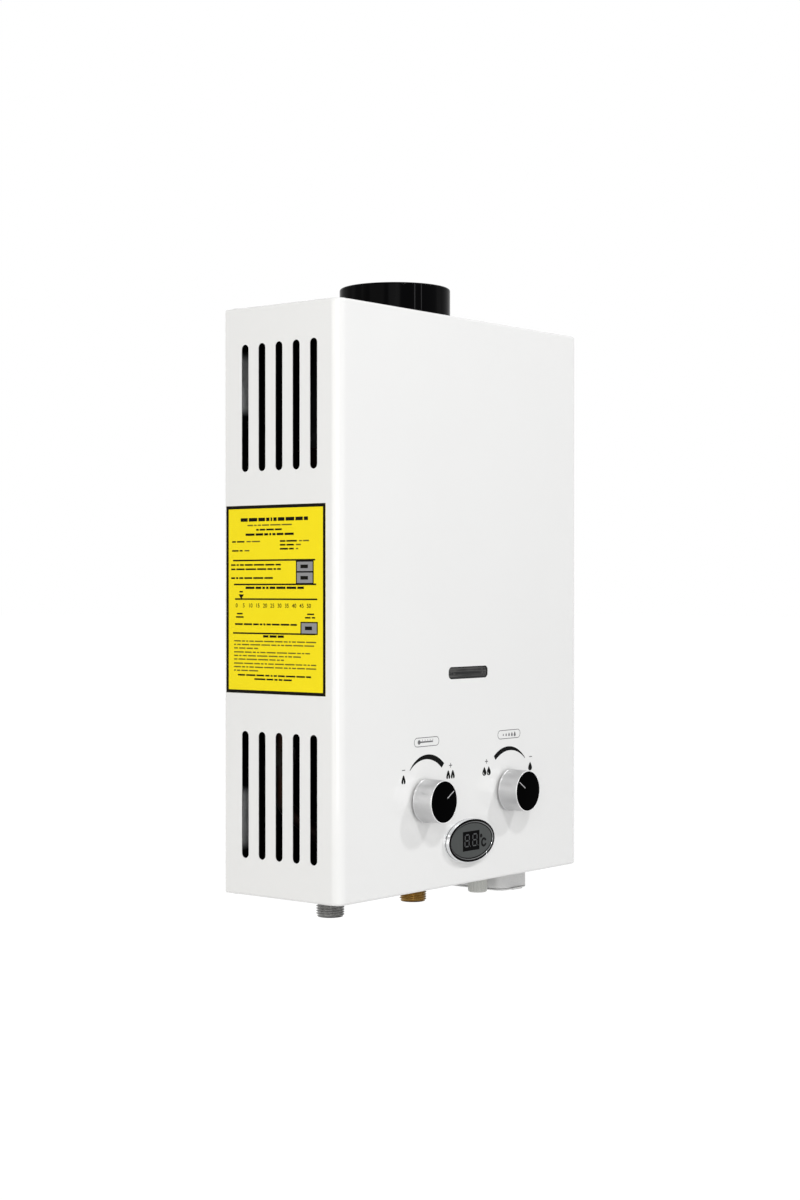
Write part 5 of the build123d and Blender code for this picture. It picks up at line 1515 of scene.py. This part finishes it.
    def build(self) -> None:
        """Makes the black marks, the gleams on two drops and the grey marks."""
        black, white, grey_marks = Skin(), Skin(), Skin()
        self.sweeps(black)
        for x in self.flames:
            self.flame(black, x)
        for x in self.drops:
            self.drop(black, x, self.drop_z, self.drop_size)
        for x in self.drops[:2]:
            self.gleam(white, x)
        for x in self.pills:
            self.pill(grey_marks, x)
        for x in self.signs:
            self.bar(grey_marks, x, self.sign_z, self.sign_size)
        for x in self.signs[1:3]:
            self.bar(grey_marks, x, self.sign_z, self.sign_size[::-1])
        grey_marks.sheet(flat_ring((self.bulb_x, self.pill_z), self.bulb_radius, 0.0, self.plane))
        self.bar(grey_marks, self.stem_x, self.pill_z, self.stem_size)
        for step, size in enumerate(self.row_sizes):
            self.bar(grey_marks, self.tick_x + self.tick_step * step, self.tick_z, self.tick_size)
            self.drop(grey_marks, self.row_x + self.row_step * step, self.row_z, (self.row_slim * size, size))
        black.piece("panel_black_marks", BLACK_INK, BODY, "black_face", facing=FORWARD)
        white.piece("panel_drop_gleams", WHITE_INK, BODY, "white_enamel", facing=FORWARD)
        grey_marks.piece("panel_grey_marks", GREY_INK, BODY, "black_face", facing=FORWARD)


@dataclass
class Display:
    """The oval temperature display: its chrome, black, bevel and rim bands end at those insets."""

    z: float = -181.9
    plane: float = -110.0
    wide: float = 29.0
    tall: float = 16.5
    rise: float = 5.05
    lens: float = -114.15
    lens_dome: float = 0.12
    lens_back: float = 3.0
    chrome: float = 0.5
    black: float = 2.1
    bevel: float = 2.8
    rim: float = 3.5
    turns: int = 160
    print_lift: float = 0.16
    bar_lift: float = 0.2
    window: Spot = (-0.75, -182.05)
    window_half: Spot = (10.4, 7.35)
    digits_x: Spot = (-5.9, 3.8)
    digits_z: float = -181.65
    digit_half: Spot = (2.6, 4.4)
    stroke: float = 0.95
    mitre: float = 0.6
    slant: float = 0.06
    dot: float = 0.9
    dot_out: float = 1.4
    degree: Spot = (11.9, -179.3)
    degree_radii: Spot = (1.45, 0.2)
    letter: Spot = (15.3, -184.5)
    letter_angles: Spot = (112.0, 428.0)
    letter_outer: Spot = (3.5, 3.5)
    letter_inner: Spot = (1.6, 2.0)

    def oval(self, line: np.ndarray) -> np.ndarray:
        """Carries a profile round the oval.

        A profile point (inset, height) lies inset inside the ellipse along its normal, height off the panel.

        Args:
            line: points x 2, inset and height.

        Returns:
            Rows x turns x 3 points.
        """
        edge = circle(full_turn(self.turns)) * [self.wide, self.tall]
        normal = circle(full_turn(self.turns)) * [self.tall, self.wide]
        normal /= np.linalg.norm(normal, axis=-1, keepdims=True)
        flat = edge[None] - normal[None] * line[:, None, :1]
        return join(flat[..., 0], self.plane - line[:, None, 1], self.z + flat[..., 1])

    def bands(self, *lines: Corners) -> Skin:
        """Carries rounded profiles round the oval.

        Args:
            lines: the profiles' corners.

        Returns:
            One skin of them all.
        """
        skin = Skin()
        for line in lines:
            skin.sheet(self.oval(profile(line)), around=True)
        return skin

    def build(self) -> None:
        """Makes the chrome ring, the black ring with a band of painted shade in the chrome's lower groove,
        its glossy bevel, the lens, the window and its segments.
        """
        top, chrome, black, bevel, rim = self.rise, self.chrome, self.black, self.bevel, self.rim
        ring = [
            (0.0, 0.0, 0.0),
            (0.0, 1.0, 0.15),
            (0.24, 1.2, 0.1),
            (0.24, 1.6, 0.1),
            (0.0, 1.8, 0.15),
            (0.0, top - 2.1, 0.15),
            (0.2, top - 1.9, 0.1),
            (0.2, top - 1.6, 0.1),
            (0.0, top - 1.4, 0.15),
            (0.0, top - 0.7, 0.3),
            (0.3, top - 0.4, 0.2),
            (chrome, top - 0.6, 0.1),
            (chrome, 0.0, 0.0),
        ]
        outer = [(chrome, 0.0, 0.0), (chrome, top - 0.4, 0.2), (0.75, top, 0.25), (2.0, top, 0.1)]
        outer += [(black, top - 0.1, 0.05), (black, 0.0, 0.0)]
        inner = [(bevel, 0.0, 0.0), (bevel, top - 0.65, 0.1), (rim, top - 0.88, 0.1), (rim, 0.0, 0.0)]
        # painted shade: a black band filling the chrome ring's lower groove
        groove = [(0.14, 1.15, 0.0), (0.14, 1.65, 0.0), (0.4, 1.65, 0.0), (0.4, 1.15, 0.0), (0.14, 1.15, 0.0)]
        gloss = [(black, 0.0, 0.0), (black, top - 0.15, 0.05), (2.4, top - 0.2, 0.3)]
        gloss += [(bevel, top - 0.65, 0.05), (bevel, 0.0, 0.0)]
        plated = self.bands(ring)
        plated.piece("display_ring_chrome", CHROME, BODY, "chrome_plate", ["display_bezel"], crease=50.0)
        self.bands(outer, inner, groove).piece("display_ring_black", LENS_BLACK, BODY, "grey_lens")
        self.bands(gloss).piece("display_bevel_gloss", BEVEL_CHROME, BODY, "chrome_plate")
        self.face()
        self.digits()

    def face(self) -> None:
        """The lens: scaled copies of its oval edge from rim to centre, with a faint dome and a back."""
        rim = self.oval(np.array([[self.rim, self.plane - self.lens]]))
        share = np.linspace(1.0, 0.0, 18)[:, None, None]
        middle = np.array([0.0, self.lens, self.z])
        front = middle + (rim - middle) * share
        front[..., 1] -= self.lens_dome * (1.0 - share[..., 0] ** 2)
        back = middle + (rim - middle) * share[::-1]
        back[..., 1] += self.lens_back
        skin = Skin().sheet(np.concatenate([back, front]), around=True)
        skin.piece("display_lens_face", LENS_GREY, BODY, "grey_lens", ["display_lens"])

    def plate(self, outline: np.ndarray, lift: float) -> np.ndarray:
        """A flat patch over the lens, filled from an x-z outline to its middle."""
        middle = outline.mean(axis=0, keepdims=True) + 0 * outline
        return between(outline, middle, self.lens - lift, 3)

    def digits(self) -> None:
        """Two eights of seven bars, each six-cornered, on a dark window, with a degree ring and a C arc."""
        square = np.array([(-1.0, -1.0), (1.0, -1.0), (1.0, 1.0), (-1.0, 1.0), (-1.0, -1.0)])
        window = Skin().sheet(self.plate(square * self.window_half + self.window, self.print_lift))
        half_w, half_h = self.digit_half
        bar = np.array([(-0.5, 0.0), (-0.34, 0.5), (0.34, 0.5), (0.5, 0.0), (0.34, -0.5), (-0.34, -0.5)])
        bar = np.concatenate([bar, bar[:1]])
        level = bar * [2 * half_w - self.mitre, self.stroke]
        upright = bar[:, ::-1] * [self.stroke, half_h - self.mitre]
        spots = [(level, 0.0, z) for z in (-half_h, 0.0, half_h)]
        spots += [(upright, x, z) for x in (-half_w, half_w) for z in (-half_h / 2, half_h / 2)]
        bars = Skin()
        for digit in self.digits_x:
            for outline, x, z in spots:
                place = [digit + x + self.slant * z, self.digits_z + z]
                bars.sheet(self.plate(outline + place, self.bar_lift))
            dot = stadium(self.dot, self.dot, 8) + [digit + half_w + self.dot_out, self.digits_z - half_h]
            bars.sheet(self.plate(dot, self.bar_lift))
        sign = Skin().sheet(flat_ring(self.degree, *self.degree_radii, self.lens - self.print_lift))
        arc = circle(np.radians(np.linspace(*self.letter_angles, 48)))
        outer, inner = (arc * radii + self.letter for radii in (self.letter_outer, self.letter_inner))
        sign.sheet(between(outer, inner, self.lens - self.print_lift))
        window.piece("display_window_dark", WINDOW, BODY, "grey_lens", facing=FORWARD)
        bars.piece("display_bars", SEGMENT, BODY, "grey_lens", facing=FORWARD)
        sign.piece("display_degree_sign", BLACK_INK, BODY, "grey_lens", facing=FORWARD)


@dataclass
class Connection:
    """One threaded pipe end below the case."""

    name: str
    x: float
    finish: Finish
    slot: str
    upper_radius: float
    upper_top: float
    y: float = -57.0
    floor: float = -233.0
    deck: float = -212.9
    deck_top: float = -211.9
    radius: float = 10.478
    shank: float = 11.2
    bore: float = 6.5
    bore_past: float = 3.5
    apothem: float = 13.0
    cone: tuple[Spot, ...] = ((13.6, 0.0), (14.2, 0.4), (16.0, 0.9))
    hex_height: float = 7.0
    nut: float = 5.0
    pitch: float = 1.814
    depth: float = 1.16
    lead: float = 0.9
    turns: int = 96

    def build(self) -> None:
        """Turns bore, face, thread, shank, hexagon and upper end in one surface.

        The thread's radius at height h and angle a is the outer radius less its depth times a rounded wave of
        h over the pitch less a over a full turn. Near the face it is cut back by the lead.
        """
        start, bore_top, neck = self.floor, self.deck_top + self.bore_past, self.deck - self.nut
        face = [
            (0.0, bore_top),
            (self.bore, bore_top),
            (self.bore, start + 0.6),
            (self.bore + 0.5, start),
            (self.radius - 1.5, start),
            (self.radius - 1.0, start + 0.15),
        ]
        turn = np.linspace(0.0, 1.0, self.turns, endpoint=False)[None]
        run = np.linspace(start + 0.5, neck - 0.25, 104)[:, None]
        wave = 0.5 - 0.5 * np.cos(2.0 * math.pi * ((run - start) / self.pitch - turn))
        cut = self.depth * (1.0 - (1.0 - wave) ** 1.5)
        thread = self.radius - cut - self.lead * (1.0 - fade(run - start - 0.4, 1.2))
        shank = [(self.shank - 0.4, neck), (self.shank, neck + 0.3), (self.shank, self.deck_top)]
        sides, level = hexagon(self.apothem, self.cone, self.hex_height, self.turns)
        upper, hex_top = self.upper_radius, self.deck_top + self.hex_height
        end = [(upper, hex_top), (upper, self.upper_top), (0.0, self.upper_top)]
        parts = [face, (thread, run), shank, (sides, self.deck_top + level), end]
        skin = Skin().turned(parts, (self.x, self.y, 0.0), Way.UP, self.turns)
        skin.piece(f"{self.name}_threaded", self.finish, BODY, self.slot, [self.name], crease=50.0)


@dataclass
class Nuts:
    """The three nuts that hold the connections under the deck."""

    places: tuple[float, ...] = (-98.0, 0.0, 122.0)
    y: float = -57.0
    foot: float = -217.9
    apothem: float = 13.0
    cone: tuple[Spot, ...] = ((13.4, 0.0), (14.1, 0.3), (16.0, 0.8))
    height: float = 5.0
    bore: float = 11.26
    chamfer: Spot = (0.35, 0.3)
    turns: int = 96

    def build(self) -> None:
        """Hexagons whose corners are cut by a cone at both faces, each with a chamfered bore."""
        bore, mouth, edge = self.bore, self.bore + self.chamfer[0], self.chamfer[1]
        sides = hexagon(self.apothem, self.cone, self.height, self.turns)
        parts = [[(bore, edge), (mouth, 0.0)], sides, [(mouth, self.height), (bore, self.height - edge)]]
        skin = Skin()
        for x in self.places:
            skin.turned(parts, (x, self.y, self.foot), Way.UP, self.turns, loop=True)
        skin.piece("connection_nuts", STEEL, BODY, "zinc_steel", ["fitting_nuts"], crease=40.0)


@dataclass
class Drain:
    """The drain cap on its stem."""

    x: float = 53.1
    y: float = -80.0
    top: float = -215.6
    radius: float = 8.4
    drop: float = 14.4
    taper: float = 4.0
    bend: float = 1.2
    stem: float = 5.0
    stem_top: float = -160.0
    ribs: int = 20
    rib_depth: float = 0.36
    slot_half: Spot = (1.0, 5.0)
    slot_depth: float = 3.0
    turns: int = 240

    def build(self) -> None:
        """A tapered cap with shallow grip ribs round its side and a coin slot across its foot.

        The side's radius falls with the taper and dips by a squared sine between ribs; the slot is a dip in
        height where the point lies within its half width and length.
        """
        turn = full_turn(self.turns)[None]
        slope = math.tan(math.radians(self.taper))
        head = [
            (0.0, self.stem_top),
            (self.stem - 0.6, self.stem_top),
            (self.stem, self.stem_top - 0.6),
            (self.stem, self.top),
            (self.radius - 0.4, self.top),
            (self.radius, self.top - 0.4),
        ]
        ends = self.drop - 1.6
        down = np.linspace(0.6, ends, 14)[:, None]
        ribbed = fade(down - 1.4, 0.8) * fade(ends - down, 1.2)
        side = self.radius - down * slope - self.rib_depth * ribbed * np.sin(0.5 * self.ribs * turn) ** 2
        angle = np.linspace(0.0, math.pi / 2, 8)[1:, None]
        foot_radius, foot = self.radius - self.drop * slope, self.top - self.drop
        bend = (foot_radius + self.bend * (np.cos(angle) - 1.0), foot + self.bend * (1.0 - np.sin(angle)))
        inward = np.linspace(foot_radius - 1.3, 0.0, 42)[:, None] * np.ones_like(turn)
        along, across = np.abs(inward * np.cos(turn)), np.abs(inward * np.sin(turn))
        slot = fade(self.slot_half[0] - across, 0.2) * fade(self.slot_half[1] - along, 0.3)
        parts = [head, (side, self.top - down), bend, (inward, foot + self.slot_depth * slot)]
        skin = Skin().turned(parts, (self.x, self.y, 0.0), Way.UP, self.turns)
        skin.piece("drain_cap_ribbed", CAP_PALE, "drain", "cap_plastic", ["drain_cap"], crease=45.0)


@dataclass
class Battery:
    """The battery box and its lid."""

    frame: dict[str, Any]
    x: float = 86.9
    lid_floor: float = -230.5
    ridge_y: float = -88.6
    ridge_step: float = 1.7
    ridges: int = 6
    ridge_size: Point = (15.0, 0.9, 0.5)
    minus_y: float = -40.6
    plus_y: float = -75.1
    sign_size: Point = (7.0, 1.3, 0.35)
    shells: tuple[CadSkin, ...] = (
        CadSkin("battery_box", "battery_box_skin", PALE, BODY, "pale_plastic", 32.0, 50),
        CadSkin("battery_lid", "battery_lid_skin", PALE, "battery_door", "pale_plastic", 32.0, 50),
    )

    def build(self) -> None:
        """Smooth skins of box and lid, with grip ridges and polarity marks raised on the lid."""
        for shell in self.shells:
            shell.build(self.frame)
        skin = Skin()
        for number in range(self.ridges):
            self.ridge(skin, self.ridge_y + self.ridge_step * number, self.ridge_size)
        self.ridge(skin, self.minus_y, self.sign_size)
        self.ridge(skin, self.plus_y, self.sign_size)
        self.ridge(skin, self.plus_y, self.sign_size, upright=True)
        skin.piece("battery_lid_ridges", PALE, "battery_door", "pale_plastic")

    def ridge(self, skin: Skin, y: float, size: Point, upright: bool = False) -> None:
        """A low bar under the lid: shrinking stadium outlines stacked downwards to a rounded crest.

        Args:
            skin: the skin that takes it.
            y: its middle.
            size: its length, width and rise.
            upright: whether it runs along y.
        """
        length, width, rise = size
        outline = stadium(length, width, 10)
        middle = outline * [1.0, 0.0]
        share = column(1.0, 1.0, 0.94, 0.78, 0.5, 0.0)[..., None]
        drop = column(-0.3, 0.0, 0.5, 0.85, 1.0, 1.0) * rise
        flat = middle + (outline - middle) * share
        if upright:
            flat = flat[..., ::-1]
        skin.sheet(join(self.x + flat[..., 0], y + flat[..., 1], self.lid_floor - drop))


@dataclass
class Inside:
    """The works behind the slots, which keep their CAD shapes; each finish has its nodes' names."""

    frame: dict[str, Any]
    finishes: tuple[tuple[Finish, str], ...] = (
        (INNER, "burner_frame exchanger_brackets valve_brackets"),
        (SHADE_DARKENED_SHEET, "draft_hood"),
        (PROBE, "outlet_sensor pipe_unions"),
        (COPPER, "exchanger_jacket exchanger_fins serpentine_tube jacket_coil hot_pipe cold_pipe"),
        (BURNER, "burner_bars"),
        (DIE_CAST, "gas_manifold gas_pipe gas_valve_body"),
        (BRASS, "gas_nozzles water_valve_body"),
        (STEEL, "electrode_pins lid_pin diaphragm_cover diaphragm_bolts switch_lever push_rod"),
        (STEEL, "gas_spindle flow_spindle sight_frame"),
        (PORCELAIN, "electrode_insulators"),
        (RUBBER, "diaphragm"),
        (LEAD_RED, "spark_leads"),
        (DARK, "display_module switch_body pulse_igniter overheat_stat"),
        (SOLENOID, "gas_solenoid"),
        (GLASS, "sight_glass"),
        (PALE, "inlet_filter"),
        (CONTACT, "battery_contacts lid_contact"),
    )

    def dress(self) -> None:
        """Gives every CAD node that stays in view its finish."""
        for finish, nodes in self.finishes:
            for node in nodes.split():
                mesh = self.frame["nodes"][node].data
                mesh.materials.clear()
                mesh.materials.append(finish.material())
            LOG.info("%s on %s", finish.name, nodes)


@dataclass(frozen=True)
class Lamp:
    """A rectangular soft lamp that faces a point, in metres and watts."""

    name: str
    place: Point
    target: Point
    size: Spot
    watts: float
    tint: Colour = (1.0, 1.0, 1.0)

    def build(self) -> None:
        """Adds the lamp, turned and dipped to its target."""
        light = bpy.data.lights.new(self.name, "AREA")
        light.shape = "RECTANGLE"
        light.size, light.size_y = self.size
        light.energy = self.watts
        light.color = self.tint
        holder = stand(self.name, light)
        holder.location = self.place
        way = np.subtract(self.target, self.place)
        turn = math.atan2(way[1], way[0]) - math.pi / 2
        dip = math.atan2(way[2], math.hypot(way[0], way[1]))
        holder.rotation_euler = (math.pi / 2 + dip, 0.0, turn)


@dataclass
class Studio:
    """Floor, world, lamps and camera: the floor in millimetres, the rest in metres."""

    floor: float = -620.0
    floor_half: float = 40000.0
    eye: Point = (-1.241668, -1.048480, 0.008733)
    pitch: float = -0.2928
    heading: float = math.degrees(math.atan2(-0.7775, 0.6289))
    lens: float = 61.348
    sky: float = 0.46
    lamps: tuple[Lamp, ...] = (
        Lamp("knob_lamp_left", (-0.87, -1.51, 1.29), (0.0, -0.11, -0.1), (0.15, 0.15), 11.0),
        Lamp("knob_lamp_right", (0.87, -1.51, 1.29), (0.0, -0.11, -0.1), (0.15, 0.15), 11.0),
        Lamp("left_fill", (-2.3, -0.15, 0.35), (-0.15, -0.06, 0.0), (1.2, 1.6), 9.0, (1.0, 0.975, 0.9)),
        Lamp("camera_fill", (-1.75, -1.4, 0.35), (-0.05, -0.06, 0.0), (0.9, 1.5), 13.5),
    )

    def build(self) -> None:
        """Makes everything that isn't part of the heater."""
        self.ground()
        self.world()
        for lamp in self.lamps:
            lamp.build()
        self.camera()

    def ground(self) -> None:
        """A wide pale floor as a flat grid."""
        across = np.linspace(-self.floor_half, self.floor_half, 7)
        skin = Skin().sheet(join(*np.meshgrid(across, across), self.floor))
        mesh = skin.mesh("studio_floor", (0.0, 0.0, 1.0), 35.0)
        mesh.materials.append(FLOOR_WHITE.material())
        made = stand("studio_floor", mesh)

    def world(self) -> None:
        """White where it is seen, a softer white where it lights."""
        world = bpy.data.worlds.new("studio_world")
        world.use_nodes = True
        bpy.context.scene.world = world
        shader = Shader(world.node_tree)
        strength = shader.seen() * (1.0 - self.sky) + self.sky
        light = shader.add("Background", {}, {"Color": grey(1.0), "Strength": strength})
        shader.add("OutputWorld", {}, {"Surface": light["Background"]})

    def camera(self) -> None:
        """Places the camera at the photograph's point of view."""
        lens = bpy.data.cameras.new("camera")
        lens.sensor_fit = "AUTO"
        lens.sensor_width = 36.0
        lens.lens = self.lens
        lens.clip_end = 50.0
        holder = stand("camera", lens)
        holder.location = self.eye
        holder.rotation_euler = (math.radians(90.0 + self.pitch), 0.0, math.radians(self.heading))
        bpy.context.scene.camera = holder
        bpy.context.scene.view_settings.view_transform = "Standard"


def main() -> None:
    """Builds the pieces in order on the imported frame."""
    logging.basicConfig(level=logging.INFO, format="%(message)s")
    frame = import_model()
    Case(frame).build()
    Label().build()
    Flue().build()
    Knob("temp_knob", "temp_control", -53.1, 58.0).build()
    Knob("flow_knob", "flow_control", 53.1, -56.0).build()
    PanelPrint().build()
    Display().build()
    Connection("hot_outlet", -98.0, THREAD_STEEL, "zinc_steel", 6.0, -194.9).build()
    Connection("gas_inlet", 0.0, BRASS, "brass", 9.0, -172.0).build()
    Connection("cold_inlet", 122.0, BRASS, "brass", 9.0, -163.5).build()
    Nuts().build()
    Drain().build()
    Battery(frame).build()
    Inside(frame).dress()
    Studio().build()


if __name__ == "__main__":
    main()
